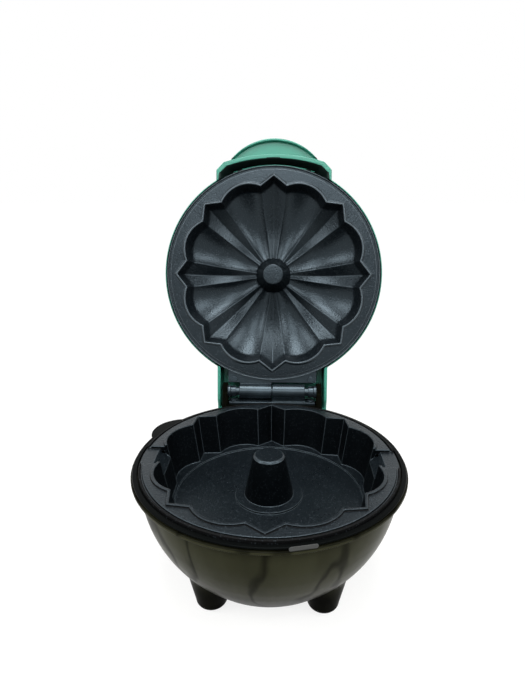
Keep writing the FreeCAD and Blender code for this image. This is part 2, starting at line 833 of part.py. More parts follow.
def dome_section(inset, floor, rim):
    """Half section of the lid's dome, set in from its outside by a wall: a shoulder arc and a top arc."""
    shoulder = s.lid_shoulder_curve - inset
    centre_r = s.lid_radius - s.lid_shoulder_curve
    centre_z = flange + s.lid_shoulder_rise
    rise = s.lid_height - s.lid_shoulder_rise - inset
    top_curve = (centre_r * centre_r + rise * rise - shoulder * shoulder) / ((rise - shoulder) * 2)
    top_centre = flange + s.lid_height - inset - top_curve
    share_r = centre_r / (top_curve - shoulder)
    share_z = (centre_z - top_centre) / (top_curve - shoulder)
    meet = (top_curve * share_r, top_centre + top_curve * share_z)
    half_turn = root((1 + share_r) / 2)
    half_side = root((1 - share_r) / 2)
    side_mid = (centre_r + shoulder * half_turn, centre_z + shoulder * half_side)
    high = root((1 + share_z) / 2)
    top_mid = (top_curve * root((1 - share_z) / 2), top_centre + top_curve * high)
    return [
        (size(0), floor),
        *rim,
        (s.lid_radius - inset, centre_z, side_mid),
        (*meet, top_mid),
        (size(0), top_centre + top_curve),
    ]


def apron_outline(inset, top_in):
    """Plan of the lid's front apron: straight sides, cut corners and a gently bowed front."""
    half = s.apron_half_width - inset - top_in
    corner_x = s.apron_corner_x - inset * 0.6 - top_in
    return [
        (half, -s.notch_radius + top_in),
        (half, -s.apron_shoulder + inset * 0.4 + top_in),
        (corner_x, -s.apron_corner_y + inset + top_in, (size(0), -s.apron_front + inset + top_in)),
        (-corner_x, -s.apron_corner_y + inset + top_in),
        (-half, -s.apron_shoulder + inset * 0.4 + top_in),
        (-half, -s.notch_radius + top_in),
    ]


def grip_outline(inset):
    """Plan of the finger grip: a rounded tab in front of the apron."""
    half = s.grip_half_width - inset
    return [
        (half, -s.notch_radius - inset * 5.5),
        (half, -s.grip_side - inset * 0.5, (size(0), -s.grip_front + inset)),
        (-half, -s.grip_side - inset * 0.5),
        (-half, -s.notch_radius - inset * 5.5),
    ]


def make_lid_shell():
    """Lid moulding: hollow dome with a seat for the upper mould, front apron, finger grip and hinge cover."""
    body = new_body("lid_shell")
    rim = flange + s.lid_rim_rise
    turn_profile(body, "Revolution", "dome", dome_section(size(0), rim, [(s.lid_rim_radius, rim)]))
    apron_low = flange + s.apron_rise
    lofted(body, "AdditiveLoft", "apron", [
        (apron_outline(size(0), size(0)), apron_low),
        (apron_outline(size(0), s.apron_top_in), apron_low + s.apron_height),
    ])
    raised(body, "Pad", "grip", grip_outline(size(0)), flange + s.grip_rise, s.grip_height)
    inner_y = s.notch_radius - s.bowl_wall
    cover_low = hinge_z + s.cover_rise
    top = flange + s.cover_top
    bend = s.cover_round
    across(body, "Pad", "hinge_cover", [
        (inner_y, rim),
        (s.hinge_y + s.ear_radius, rim),
        (s.cover_rear - s.cover_rear_wall - s.fit_gap * 10, cover_low),
        (s.cover_rear, cover_low),
        (s.cover_rear, top - bend, (s.cover_rear - bend * 0.293, top - bend * 0.293)),
        (s.cover_rear - bend, top),
        (inner_y, top),
    ], s.cover_half_width * 2)
    seat_r = s.lid_plate_radius + s.lid_seat_clearance
    seat_in = seat_r - s.lid_seat_width
    below = flange - s.apron_rise
    inside = dome_section(s.lid_wall, below, [
        (seat_r, below),
        (seat_r, lid_back),
        (seat_in, lid_back),
        (seat_in, flange + s.lid_shoulder_rise),
    ])
    turn_profile(body, "Groove", "dome_inside", inside)
    lofted(body, "SubtractiveLoft", "apron_inside", [
        (apron_outline(s.apron_wall, size(0)), below),
        (apron_outline(s.apron_wall, s.apron_top_in), apron_low + s.apron_height - s.apron_wall),
    ])
    wall = s.cover_rear_wall
    across(body, "Pocket", "cover_inside", [
        (inner_y, below),
        (s.cover_rear - wall, below),
        (s.cover_rear - wall, top - bend, (s.cover_rear - wall - (bend - wall) * 0.293,
                                           top - wall - (bend - wall) * 0.293)),
        (s.cover_rear - bend, top - wall),
        (inner_y, top - wall),
    ], (s.cover_half_width - s.cover_wall) * 2)
    raised(body, "Pocket", "grip_dish", grip_outline(s.grip_border), flange + s.grip_rise, s.grip_dish)
    boss_top = top - wall
    boss_low = lid_back + s.leaf_tail_thick
    discs(body, "Pad", "leaf_bosses", lid_screw_places(), s.leaf_screw_head, boss_low, boss_top - boss_low)
    discs(body, "Pocket", "boss_holes", lid_screw_places(), s.leaf_screw_radius + s.fit_gap, boss_low,
          s.leaf_tail_thick * 3)
    discs(body, "Pocket", "lens_hole", [(size(0), size(0))], s.lens_radius + s.fit_gap,
          flange + s.lid_height - s.lid_wall * 3, s.lid_wall * 4)
    body.Placement = lid_open()
    return body


def crown_ridge(radius):
    """Depth of the ridges between flutes, a shallow ring trough about the centre."""
    away = radius - s.crown_ring.value
    return s.crown_depth.value - away * away / (2 * s.crown_curve.value)


def flute(centre_angle, half_angle, pointed):
    """One flute of the crown as a solid, widening outwards: a pointed or a rounded channel."""
    rings = int(s.flute_sections.value)
    first = s.boss_top_radius.value - s.fit_gap.value
    last = s.lid_plate_radius.value
    mouth = lid_face.value - 2 * s.closed_gap.value
    spread = math.radians(half_angle)
    sections = []
    for index in range(rings):
        radius = first + (last - first) * index / (rings - 1)
        along, wide = radius * math.cos(spread), radius * math.sin(spread)
        ridge = lid_face.value + crown_ridge(radius)
        floor = ridge + s.flute_slope.value * radius
        low_left, low_right = FreeCAD.Vector(along, -wide, mouth), FreeCAD.Vector(along, wide, mouth)
        left, right = FreeCAD.Vector(along, -wide, ridge), FreeCAD.Vector(along, wide, ridge)
        middle = FreeCAD.Vector(along, 0, floor)
        sides = [Part.makeLine(right, low_right), Part.makeLine(low_right, low_left), Part.makeLine(low_left, left)]
        if pointed:
            bed = [Part.makeLine(left, middle), Part.makeLine(middle, right)]
        else:
            bed = [Part.Arc(left, middle, right).toShape()]
        sections.append(Part.Wire(bed + sides))
    solid = Part.makeLoft(sections, True, True)
    solid.rotate(FreeCAD.Vector(), FreeCAD.Vector(0, 0, 1), centre_angle)
    return solid


def outline_wire(outset, level):
    """The cake outline as a wire at a level, for the drafted wall of the upper mould."""
    corners = cake_outline(size(outset))
    edges = []
    for index, corner in enumerate(corners):
        following = corners[(index + 1) % len(corners)]
        ends = [FreeCAD.Vector(float(p[0]), float(p[1]), level) for p in (corner, following)]
        if len(corner) == 2:
            edges.append(Part.makeLine(*ends))
        else:
            crest = FreeCAD.Vector(float(corner[2][0]), float(corner[2][1]), level)
            edges.append(Part.Arc(ends[0], crest, ends[1]).toShape())
    return Part.Wire(edges)


def crown_flutes():
    """Every flute of the crown, pointed ones on the tips and rounded ones on the lobes, as one solid."""
    pitch = lobe_pitch.value
    half_point = s.notch_angle.value
    half_lobe = pitch / 2 - half_point
    flutes = []
    for index in range(int(s.lobe_count.value)):
        flutes.append(flute(index * pitch, half_point, True))
        flutes.append(flute((index + 0.5) * pitch, half_lobe, False))
    return flutes[0].multiFuse(flutes[1:])


def drafted_prism(outset):
    """A prism on the cake outline that narrows from the flange upwards by the draft of the upper mould."""
    below = -2 * s.bead_height.value
    above = crown_deepest.value + 2 * s.lid_floor.value
    return Part.makeLoft([
        outline_wire(outset, lid_face.value + below),
        outline_wire(outset, lid_face.value),
        outline_wire(outset - s.lid_draft.value * above, lid_face.value + above),
    ], True, True)


def plain(name, shape):
    """A finished shape as an object of its own."""
    feature = doc.addObject("Part::Feature", name)
    feature.Shape = shape
    return feature


def make_lid_mould():
    """Upper cast mould: flange, bead and heater seat on an even-walled fluted crown round a centre boss."""
    blank = new_body("lid_mould_flange")
    turn_profile(blank, "Revolution", "flange_disc", [
        (size(0), lid_face),
        (s.lid_plate_radius, lid_face),
        (s.lid_plate_radius, lid_back),
        (size(0), lid_back),
    ])
    raised(blank, "Pad", "bead", cake_outline(s.bead_width), lid_face, s.bead_height, upward=False)
    edge_line(blank, lid_face, s.lid_line_radius, s.lid_line_width, s.lid_line_depth)
    ridge_level = lid_face + s.crown_depth - s.lid_floor
    seat_half = s.heater_radius + s.heater_seat
    seat = new_body("lid_heater_seat")
    turn_profile(seat, "Revolution", "seat_ring", [
        (s.heater_circle - seat_half, ridge_level),
        (s.heater_circle + seat_half, ridge_level),
        (s.heater_circle + seat_half, crown_back),
        (s.heater_circle - seat_half, crown_back),
    ])
    boss = new_body("lid_boss")
    turn_profile(boss, "Revolution", "boss_cone", [
        (size(0), lid_face),
        (s.boss_top_radius, lid_face),
        (s.boss_foot_radius, lid_face + crown_deepest),
        (size(0), lid_face + crown_deepest),
    ])
    studs = [cylinder(f"lid_stud{index}", s.stud_radius, crown_back + s.stud_length - ridge_level, (x, y, ridge_level))
             for index, (x, y) in enumerate(ring_of(s.stud_circle, 3, 90.0))]
    holes = [cylinder(f"lid_stud_hole{index}", screw_hole, s.stud_length, (x, y, crown_back))
             for index, (x, y) in enumerate(ring_of(s.stud_circle, 3, 90.0))]
    doc.recompute()
    flutes = crown_flutes()
    space = plain("crown_space", flutes.common(drafted_prism(0.0)).cut(boss.Shape))
    flutes.translate(FreeCAD.Vector(0, 0, s.lid_floor.value))
    casting = plain("crown_casting", flutes.common(drafted_prism(s.lid_casting_wall.value)))
    solid = joined("lid_mould_solid", [blank, casting, seat, boss, *studs])
    hollow = group("lid_mould_hollow", [space, *holes])
    mould = pierced("lid_mould", solid, hollow)
    mould.Placement = lid_open()
    return mould


def make_heater(name, level, upward):
    """Tubular heating element: an open ring against the mould's back, with two terminals at the rear."""
    body = new_body(name)
    side = 1 if upward else -1
    centre = level + (s.heater_radius + s.fit_gap) * side
    sketch = draw_circle(new_sketch(body, "tube_section", "YZ_Plane"), (s.heater_circle, centre), s.heater_radius)
    start = s.heater_gap / 2
    tube = add_feature(body, "Revolution", "tube", sketch, ReferenceAxis=(sketch, ["V_Axis"]))
    tube.setExpression("Angle", (360 - s.heater_gap).formula)
    ends = [polar(s.heater_circle, 90.0), polar(s.heater_circle, 90.0 - s.heater_gap)]
    discs(body, "Pad", "terminals", ends, s.terminal_radius, centre, s.terminal_length, upward=upward)
    body.Placement = FreeCAD.Placement(FreeCAD.Vector(), FreeCAD.Rotation(FreeCAD.Vector(0, 0, 1), start.value))
    return body


def make_shield(name, face, upward):
    """Reflector pan clamped on the mould's studs, its rim turned towards the mould."""
    body = new_body(name)
    side = 1 if upward else -1
    thick = s.shield_thick * side
    rim = s.shield_rim * side
    turn_profile(body, "Revolution", "pan", [
        (size(0), face),
        (s.shield_flat_radius, face),
        (s.shield_radius, face - rim),
        (s.shield_radius + s.shield_thick, face - rim),
        (s.shield_flat_radius + s.shield_thick, face + thick),
        (size(0), face + thick),
    ])
    low = face - s.stud_length
    discs(body, "Pocket", "holes", ring_of(s.stud_circle, 3, 90.0), screw_hole, low, s.stud_length * 2)
    terminals = [polar(s.heater_circle, 90 + s.heater_gap / 2 * side) for side in (1, -1)]
    discs(body, "Pocket", "terminal_holes", terminals, s.terminal_radius * 1.6, low, s.stud_length * 2)
    return body


def cylinder(name, radius, height, place, direction=(0, 0, 1)):
    """A plain round solid from a place along a direction, its sizes bound to the sheet."""
    item = doc.addObject("Part::Cylinder", name)
    item.setExpression("Radius", size(radius).formula)
    item.setExpression("Height", size(height).formula)
    turn = FreeCAD.Rotation(FreeCAD.Vector(0, 0, 1), FreeCAD.Vector(*direction))
    item.Placement = FreeCAD.Placement(FreeCAD.Vector(*(float(size(p)) for p in place)), turn)
    return item


def joined(name, pieces):
    """Several primitives fused to one solid."""
    item = doc.addObject("Part::MultiFuse", name)
    item.Shapes = pieces
    return item


def pierced(name, base, tool):
    """A solid with another taken out of it."""
    item = doc.addObject("Part::Cut", name)
    item.Base = base
    item.Tool = tool
    return item


def make_screws(name, centres, radius, head_radius, head_height, seat, tip, upward):
    """Equal screws at several places: a pan head on its seat and a shank that points up or down."""
    screws = []
    direction = (0, 0, 1 if upward else -1)
    length = (tip - seat) if upward else (seat - tip)
    for index, (x, y) in enumerate(centres):
        head_at = seat - head_height if upward else seat + head_height
        head = cylinder(f"{name}_head{index}", head_radius, head_height, (x, y, head_at), direction)
        shank = cylinder(f"{name}_shank{index}", radius, length, (x, y, seat), direction)
        screws.append(joined(f"{name}_{index}", [head, shank]))
    return group(name, screws)


def make_foot_pads():
    """Rubber pad in the end of each leg, each its own node."""
    pads = []
    for label, x, y in (("front_left", -s.leg_x, -s.leg_y), ("front_right", s.leg_x, -s.leg_y),
                        ("rear_left", -s.rear_foot_x, s.rear_foot_y), ("rear_right", s.rear_foot_x, s.rear_foot_y)):
        pads.append(cylinder(f"foot_pad_{label}", s.pad_radius, s.pad_thick - s.fit_gap, (x, y, 0)))
    return pads


def make_thermostat():
    """Disc thermostat against the mould's underside, with two tabs."""
    top = mould_bottom - s.fit_gap
    can = cylinder("thermostat_can", s.thermostat_radius, s.thermostat_height, (0, 0, top), (0, 0, -1))
    low = top - s.thermostat_height + s.terminal_radius
    reach = s.thermostat_radius + s.terminal_length / 2
    tabs = cylinder("thermostat_tabs", s.terminal_radius * 0.6, reach * 2, (-reach, 0, low), (1, 0, 0))
    return joined("thermostat", [can, tabs])


def make_thermal_fuse():
    """One-shot thermal fuse in its sleeve, lying against the mould's underside."""
    level = mould_bottom - s.fuse_radius - s.fit_gap
    half = s.fuse_length / 2
    sleeve = cylinder("fuse_sleeve", s.fuse_radius, s.fuse_length, (-half, -s.fuse_y, level), (1, 0, 0))
    lead = half + s.terminal_length / 2
    leads = cylinder("fuse_leads", s.fuse_radius * 0.3, lead * 2, (-lead, -s.fuse_y, level), (1, 0, 0))
    return joined("thermal_fuse", [sleeve, leads])


def make_terminal_block():
    """Two-way terminal block on the floor of the heel, bored for the wires."""
    block = doc.addObject("Part::Box", "block_body")
    for key, value in (("Length", s.block_width), ("Width", s.block_depth), ("Height", s.block_height)):
        block.setExpression(key, value.formula)
    floor = s.heel_bottom + s.bowl_wall
    corner = FreeCAD.Vector(-s.block_width.value / 2, s.block_y.value - s.block_depth.value / 2, floor.value)
    block.Placement = FreeCAD.Placement(corner, FreeCAD.Rotation())
    bores = []
    for side, label in ((1, "right"), (-1, "left")):
        x = s.block_width / 4 * side
        start = (x, s.block_y - s.block_depth, block_axis())
        bores.append(cylinder(f"block_bore_{label}", s.block_bore, s.block_depth * 2, start, (0, 1, 0)))
    return pierced("terminal_block", block, group("block_bores", bores))


def block_axis():
    """Height of the terminal block's bores."""
    return s.heel_bottom + s.bowl_wall + s.block_height / 2


def wire_solid(points, radius):
    """A wire of a given radius along straight runs joined by tangent arcs."""
    edges = []
    here = points[0]
    for before, corner, after in zip(points, points[1:], points[2:]):
        into, out = (corner - before).normalize(), (after - corner).normalize()
        reach = 0.45 * min((corner - before).Length, (after - corner).Length)
        start, end = corner - into * reach, corner + out * reach
        turn = into.getAngle(out)
        bow = reach * math.cos(turn / 2) * math.tan(turn / 4)
        middle = (start + end) * 0.5
        towards = (corner - middle).normalize()
        edges.append(Part.makeLine(here, start))
        edges.append(Part.Arc(start, middle + towards * bow, end).toShape())
        here = end
    edges.append(Part.makeLine(here, points[-1]))
    path = Part.Wire(edges)
    heading = (points[1] - points[0]).normalize()
    ring = Part.Wire(Part.makeCircle(radius, points[0], heading))
    return path.makePipeShell([ring], True, True)


def make_base_wires():
    """The two wires from the terminal block to the lower heater's terminals."""
    gap = s.heater_gap.value / 2
    top = mould_bottom.value - 3 * s.fit_gap.value - s.heater_radius.value - s.terminal_length.value
    axis = block_axis().value
    front = s.block_y.value - s.block_depth.value / 2
    wires = []
    for side in (1, -1):
        angle = math.radians(90.0 - gap * side)
        x, y = s.heater_circle.value * math.cos(angle), s.heater_circle.value * math.sin(angle)
        points = [
            FreeCAD.Vector(s.block_width.value / 4 * side, front + s.terminal_length.value / 2, axis),
            FreeCAD.Vector(s.block_width.value / 4 * side, front - s.terminal_length.value, axis),
            FreeCAD.Vector(x, y, axis + s.block_height.value),
            FreeCAD.Vector(x, y, top),
        ]
        wires.append(wire_solid(points, s.wire_radius.value))
    return plain("base_wires", Part.makeCompound(wires))


def make_lid_wires():
    """The two wires from the hinge cover to the upper heater's terminals."""
    gap = s.heater_gap.value / 2
    top = crown_back.value + s.fit_gap.value + s.heater_radius.value + s.terminal_length.value
    wires = []
    for side in (1, -1):
        angle = math.radians(90.0 - gap * side)
        x, y = s.heater_circle.value * math.cos(angle), s.heater_circle.value * math.sin(angle)
        step = s.terminal_length.value / 2
        points = [
            FreeCAD.Vector(x, y, top + s.fit_gap.value),
            FreeCAD.Vector(x, y, top + step),
            FreeCAD.Vector(x, y + step * 2.2, top + step),
            FreeCAD.Vector(x, y + step * 3.5, top - step * 4),
        ]
        wires.append(wire_solid(points, s.wire_radius.value))
    pair = plain("lid_wires", Part.makeCompound(wires))
    pair.Placement = lid_open()
    return pair


def make_cord_gland():
    """Flanged bush in the heel's rear wall, bored for a mains lead."""
    body = new_body("cord_gland")
    outside = s.heel_rear + s.fit_gap
    inner = outside + s.gland_flange_thick - s.gland_length
    axis_z = s.gland_height
    centre = [(size(0), axis_z)]
    discs(body, "Pad", "bush", centre, s.gland_radius, -inner, s.gland_length, plane="XZ_Plane", upward=False)
    discs(body, "Pad", "collar", centre, s.gland_flange, -outside, s.gland_flange_thick, plane="XZ_Plane",
          upward=False)
    discs(body, "Pocket", "bore", centre, s.gland_bore, size(0), s.heel_rear * 4, plane="XZ_Plane",
          SideType="Symmetric")
    return body


def make_indicator():
    """Clear lens in the top of the lid, and the small lamp that it holds."""
    top = flange + s.lid_height
    lens = new_body("indicator_lens")
    low = top + s.lens_proud - s.lens_length
    turn_profile(lens, "Revolution", "lens_section", [
        (size(0), top - s.lid_wall),
        (s.lamp_radius + s.fit_gap, top - s.lid_wall),
        (s.lamp_radius + s.fit_gap, low),
        (s.lens_radius, low),
        (s.lens_radius, top + s.fit_gap),
        (s.lens_radius - s.lens_proud / 2, top + s.lens_proud * 0.8),
        (size(0), top + s.lens_proud),
    ])
    lens.Placement = lid_open()
    lamp = cylinder("indicator_lamp_bulb", s.lamp_radius, s.lamp_length, (0, 0, top - s.lid_wall - s.fit_gap),
                    (0, 0, -1))
    bulb = joined("indicator_lamp", [lamp, cylinder("lamp_cap", s.lamp_radius * 0.7, s.lamp_radius,
                                                    (0, 0, top - s.lid_wall - s.fit_gap - s.lamp_length),
                                                    (0, 0, -1))])
    bulb.Placement = lid_open()
    return [lens, bulb]


def make_fasteners():
    """Every screw of the appliance, each kind as one node."""
    thirds = ring_of(s.stud_circle, 3, 90.0)
    head_seat = s.bowl_bottom + s.screw_head_height * 2
    base = make_screws("base_screws", thirds, s.screw_radius, s.screw_head_radius, s.screw_head_height,
                       head_seat, mould_bottom - s.screw_head_height, True)
    leaf_centres = [(s.leaf_screw_x, leaf_screw_y()), (-s.leaf_screw_x, leaf_screw_y())]
    leaf = make_screws("base_leaf_screws", leaf_centres, s.leaf_screw_radius, s.leaf_screw_head,
                       s.leaf_screw_head_height, leaf_top, shelf_bottom, False)
    tail = make_screws("lid_leaf_screws", lid_screw_places(), s.leaf_screw_radius, s.leaf_screw_head,
                       s.leaf_screw_head_height, lid_back, lid_back + s.leaf_tail_thick * 3, True)
    tail.Placement = lid_open()
    shield_top = crown_back + s.stud_length + s.shield_thick
    shield = make_screws("lid_shield_screws", thirds, s.screw_radius, s.screw_head_radius, s.screw_head_height,
                         shield_top, crown_back + s.screw_head_height, False)
    shield.Placement = lid_open()
    return [base, leaf, tail, shield]


def make_parts():
    """Every node of the appliance."""
    lid_heater = make_heater("lid_heater", crown_back, True)
    lid_heater.Placement = lid_open() * lid_heater.Placement
    lid_shield = make_shield("lid_heat_shield", crown_back + s.stud_length, True)
    lid_shield.Placement = lid_open()
    return [
        make_base_housing(),
        make_trim_ring(),
        make_rim_tab(),
        make_base_mould(),
        make_base_hinge_leaf(),
        make_hinge_pin(),
        make_hinge_washers(),
        make_hinge_clips(),
        make_heater("base_heater", mould_bottom, False),
        make_shield("base_heat_shield", stud_bottom, False),
        make_thermostat(),
        make_thermal_fuse(),
        make_terminal_block(),
        make_base_wires(),
        make_cord_gland(),
        *make_foot_pads(),
        make_lid_shell(),
        make_lid_mould(),
        make_lid_hinge_leaf(),
        lid_heater,
        lid_shield,
        make_lid_wires(),
        *make_indicator(),
        *make_fasteners(),
    ]


def check(parts):
    """Stop if any object failed or any node has no valid solid."""
    for item in doc.Objects:
        if "Invalid" in item.State or "Error" in item.State:
            raise RuntimeError(f"{item.Label} failed: {item.State}")
    for part in parts:
        if part.Shape.isNull() or not part.Shape.isValid() or not part.Shape.Solids:
            raise RuntimeError(f"{part.Label} has no valid solid")


def main():
    """Build, check and write every node."""
    parts = make_parts()
    doc.recompute()
    check(parts)
    os.makedirs("parts", exist_ok=True)
    for part in parts:
        part.Shape.exportStep(os.path.join("parts", f"{part.Label}.step"))
        print(part.Label, len(part.Shape.Solids), round(part.Shape.Volume, 1))


main()
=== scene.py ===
"""Looks of the mini fluted-cake maker: finishes, softened edges, studio and camera."""

from __future__ import annotations

import json
import logging
import math
from abc import ABC, abstractmethod
from dataclasses import dataclass, field
from enum import Enum
from functools import cache
from typing import Callable, ClassVar

import bmesh
import bpy
from mathutils import Matrix, Vector
from mathutils.bvhtree import BVHTree

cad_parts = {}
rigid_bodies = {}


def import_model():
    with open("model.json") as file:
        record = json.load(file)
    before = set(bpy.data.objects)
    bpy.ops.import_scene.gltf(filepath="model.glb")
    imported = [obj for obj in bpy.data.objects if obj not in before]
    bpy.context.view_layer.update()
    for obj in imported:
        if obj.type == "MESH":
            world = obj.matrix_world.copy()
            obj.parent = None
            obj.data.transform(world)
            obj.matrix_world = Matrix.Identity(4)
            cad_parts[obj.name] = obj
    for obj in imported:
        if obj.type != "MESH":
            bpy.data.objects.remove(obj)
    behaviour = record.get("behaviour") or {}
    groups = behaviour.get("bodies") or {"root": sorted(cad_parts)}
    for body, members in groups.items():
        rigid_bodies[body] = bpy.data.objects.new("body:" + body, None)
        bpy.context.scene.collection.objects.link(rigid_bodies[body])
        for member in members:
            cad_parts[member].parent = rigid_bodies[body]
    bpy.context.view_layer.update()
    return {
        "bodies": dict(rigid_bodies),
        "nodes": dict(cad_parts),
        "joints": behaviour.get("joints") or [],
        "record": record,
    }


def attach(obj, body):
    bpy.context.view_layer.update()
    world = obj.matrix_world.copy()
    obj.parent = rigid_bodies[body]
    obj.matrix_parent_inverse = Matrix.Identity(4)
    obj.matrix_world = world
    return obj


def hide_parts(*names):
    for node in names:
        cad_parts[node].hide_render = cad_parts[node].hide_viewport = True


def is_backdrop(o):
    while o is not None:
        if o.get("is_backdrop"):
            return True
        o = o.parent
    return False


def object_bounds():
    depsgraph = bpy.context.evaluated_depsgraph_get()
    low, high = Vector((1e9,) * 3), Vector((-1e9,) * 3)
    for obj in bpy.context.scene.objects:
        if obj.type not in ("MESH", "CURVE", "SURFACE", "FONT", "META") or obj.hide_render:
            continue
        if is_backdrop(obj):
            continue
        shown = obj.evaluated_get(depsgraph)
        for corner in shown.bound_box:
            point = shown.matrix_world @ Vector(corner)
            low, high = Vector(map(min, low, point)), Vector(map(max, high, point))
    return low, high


LOG = logging.getLogger("cake_maker")
MM = 0.001
WELD = 0.004 * MM

Colour = tuple[float, float, float]
Place = tuple[float, float, float]
Span = tuple[float, float]

BLACK: Colour = (0.0, 0.0, 0.0)
WHITE: Colour = (1.0, 1.0, 1.0)
COAT_SHEEN: Colour = (0.68, 0.87, 1.0)
UNSTRETCHED: Place = (1.0, 1.0, 1.0)


def darkened(colour: Colour, share: float) -> Colour:
    """Returns: a share of a colour."""
    return tuple(channel * share for channel in colour)


def placed(name: str, data: bpy.types.ID) -> bpy.types.Object:
    """Returns: a new object in the scene that holds the data."""
    holder = bpy.data.objects.new(name, data)
    bpy.context.scene.collection.objects.link(holder)
    return holder


def evaluated(shown: bpy.types.Object) -> bpy.types.Mesh:
    """Returns: the object's mesh with its modifiers applied."""
    graph = bpy.context.evaluated_depsgraph_get()
    return bpy.data.meshes.new_from_object(shown.evaluated_get(graph))


def welded(node: bpy.types.Object) -> bmesh.types.BMesh:
    """Returns: a CAD node's mesh with its faces joined and looking outward."""
    work = bmesh.new()
    work.from_mesh(node.data)
    bmesh.ops.remove_doubles(work, verts=work.verts, dist=WELD)
    bmesh.ops.recalc_face_normals(work, faces=work.faces)
    return work


def arc_radius(half_width: float, rise: float) -> float:
    """Returns: the radius of an arc with half its width and its rise."""
    return (half_width * half_width + rise * rise) / (2 * rise)


class Body(Enum):
    """Rigid bodies of the appliance."""

    BASE = "base"
    LID = "lid"


class Signal:
    """An output socket that can be added, multiplied and compared like a number."""

    def __init__(self, graph: Graph, socket: bpy.types.NodeSocket) -> None:
        self.graph = graph
        self.socket = socket

    def _math(self, operation: str, other: Signal | float) -> Signal:
        return self.graph.math(operation, self, other)

    def __add__(self, other: Signal | float) -> Signal:
        return self._math("ADD", other)

    def __sub__(self, other: Signal | float) -> Signal:
        return self._math("SUBTRACT", other)

    def __mul__(self, other: Signal | float) -> Signal:
        return self._math("MULTIPLY", other)

    def __gt__(self, other: float) -> Signal:
        return self._math("GREATER_THAN", other)

    def raised(self, share: float) -> Signal:
        """Returns: a signal that runs from 1 less the share, at 0, up to 1, at 1."""
        return self * share + (1.0 - share)

    def lowered(self, share: float) -> Signal:
        """Returns: a signal that runs from 1, at 0, down to 1 less the share, at 1."""
        return self * -share + 1.0

    def spread(self, low: float, high: float) -> Signal:
        """Stretch part of the signal to the range 0 to 1.

        Args:
            low: the value that becomes 0.
            high: the value that becomes 1.

        Returns: the smoothly stretched signal.
        """
        settings = {"interpolation_type": "SMOOTHSTEP"}
        inputs = {"Value": self, "From Min": low, "From Max": high}
        return self.graph.signal("ShaderNodeMapRange", settings=settings, **inputs)


class Graph:
    """A node tree with one generic way to add a node."""

    # sockets of the Mix node's colour mode
    MIX_FACTOR, MIX_FIRST, MIX_SECOND, MIX_RESULT = 0, 6, 7, 2

    def __init__(self, tree: bpy.types.NodeTree) -> None:
        self.tree = tree
        tree.nodes.clear()

    def node(self, kind: str, settings: dict | None = None, **inputs: object) -> bpy.types.Node:
        """Add a node.

        Args:
            kind: the node's type name.
            settings: properties of the node.
            inputs: values or signals for its sockets, by name.

        Returns: the node.
        """
        node = self.tree.nodes.new(kind)
        for key, value in (settings or {}).items():
            setattr(node, key, value)
        for name, value in inputs.items():
            self.feed(node.inputs[name], value)
        return node

    def feed(self, socket: bpy.types.NodeSocket, value: object) -> None:
        """Link a signal to a socket, or set the socket's own value.

        Args:
            socket: the input to feed.
            value: a signal, number, colour or vector.
        """
        if isinstance(value, Signal):
            self.tree.links.new(value.socket, socket)
        elif socket.type == "RGBA" and len(value) == 3:
            socket.default_value = (*value, 1.0)
        else:
            socket.default_value = value

    def signal(self, kind: str, output: str | int = 0, settings: dict | None = None,
               **inputs: object) -> Signal:
        """Add a node and give one of its outputs as a signal."""
        return Signal(self, self.node(kind, settings, **inputs).outputs[output])

    def math(self, operation: str, first: Signal | float, second: Signal | float) -> Signal:
        """Join two values with one arithmetic operation."""
        node = self.node("ShaderNodeMath", {"operation": operation})
        self.feed(node.inputs[0], first)
        self.feed(node.inputs[1], second)
        return Signal(self, node.outputs[0])

    def mix(self, factor: Signal | float, first: object, second: object) -> Signal:
        """Mix two colours by a factor."""
        node = self.node("ShaderNodeMix", {"data_type": "RGBA"})
        self.feed(node.inputs[self.MIX_FACTOR], factor)
        self.feed(node.inputs[self.MIX_FIRST], first)
        self.feed(node.inputs[self.MIX_SECOND], second)
        return Signal(self, node.outputs[self.MIX_RESULT])

    def split(self, vector: Signal) -> tuple[Signal, ...]:
        """Returns: the three parts of a vector."""
        node = self.node("ShaderNodeSeparateXYZ", Vector=vector)
        return tuple(Signal(self, output) for output in node.outputs)

    def joined(self, kind: str, shaders: tuple[bpy.types.Node, ...],
               **inputs: object) -> bpy.types.Node:
        """Returns: a node of a kind whose last sockets take the shaders."""
        node = self.node(kind, **inputs)
        for shader, socket in zip(shaders, list(node.inputs)[-len(shaders):]):
            self.tree.links.new(shader.outputs[0], socket)
        return node

    def close(self, kind: str, shader: bpy.types.Node) -> None:
        """End the tree with an output node of a kind that shows the shader."""
        self.tree.links.new(shader.outputs[0], self.node(kind).inputs["Surface"])

    def place(self, stretch: Place = UNSTRETCHED) -> Signal:
        """Object coordinates, stretched along the axes."""
        vector = self.signal("ShaderNodeTexCoord", "Object")
        return self.signal("ShaderNodeMapping", Vector=vector, Scale=stretch)

    def noise(self, scale: float, detail: float = 2.0, stretch: Place = UNSTRETCHED) -> Signal:
        """Smooth noise over the object, from 0 to 1."""
        place = self.place(stretch)
        return self.signal("ShaderNodeTexNoise", Vector=place, Scale=scale, Detail=detail)

    def cells(self, scale: float) -> bpy.types.Node:
        """Cell noise over the object."""
        return self.node("ShaderNodeTexVoronoi", Vector=self.place(), Scale=scale)

    def bump(self, height: Signal, depth: float, strength: float) -> Signal:
        """A normal bent by a height signal."""
        return self.signal("ShaderNodeBump", Height=height, Distance=depth, Strength=strength)


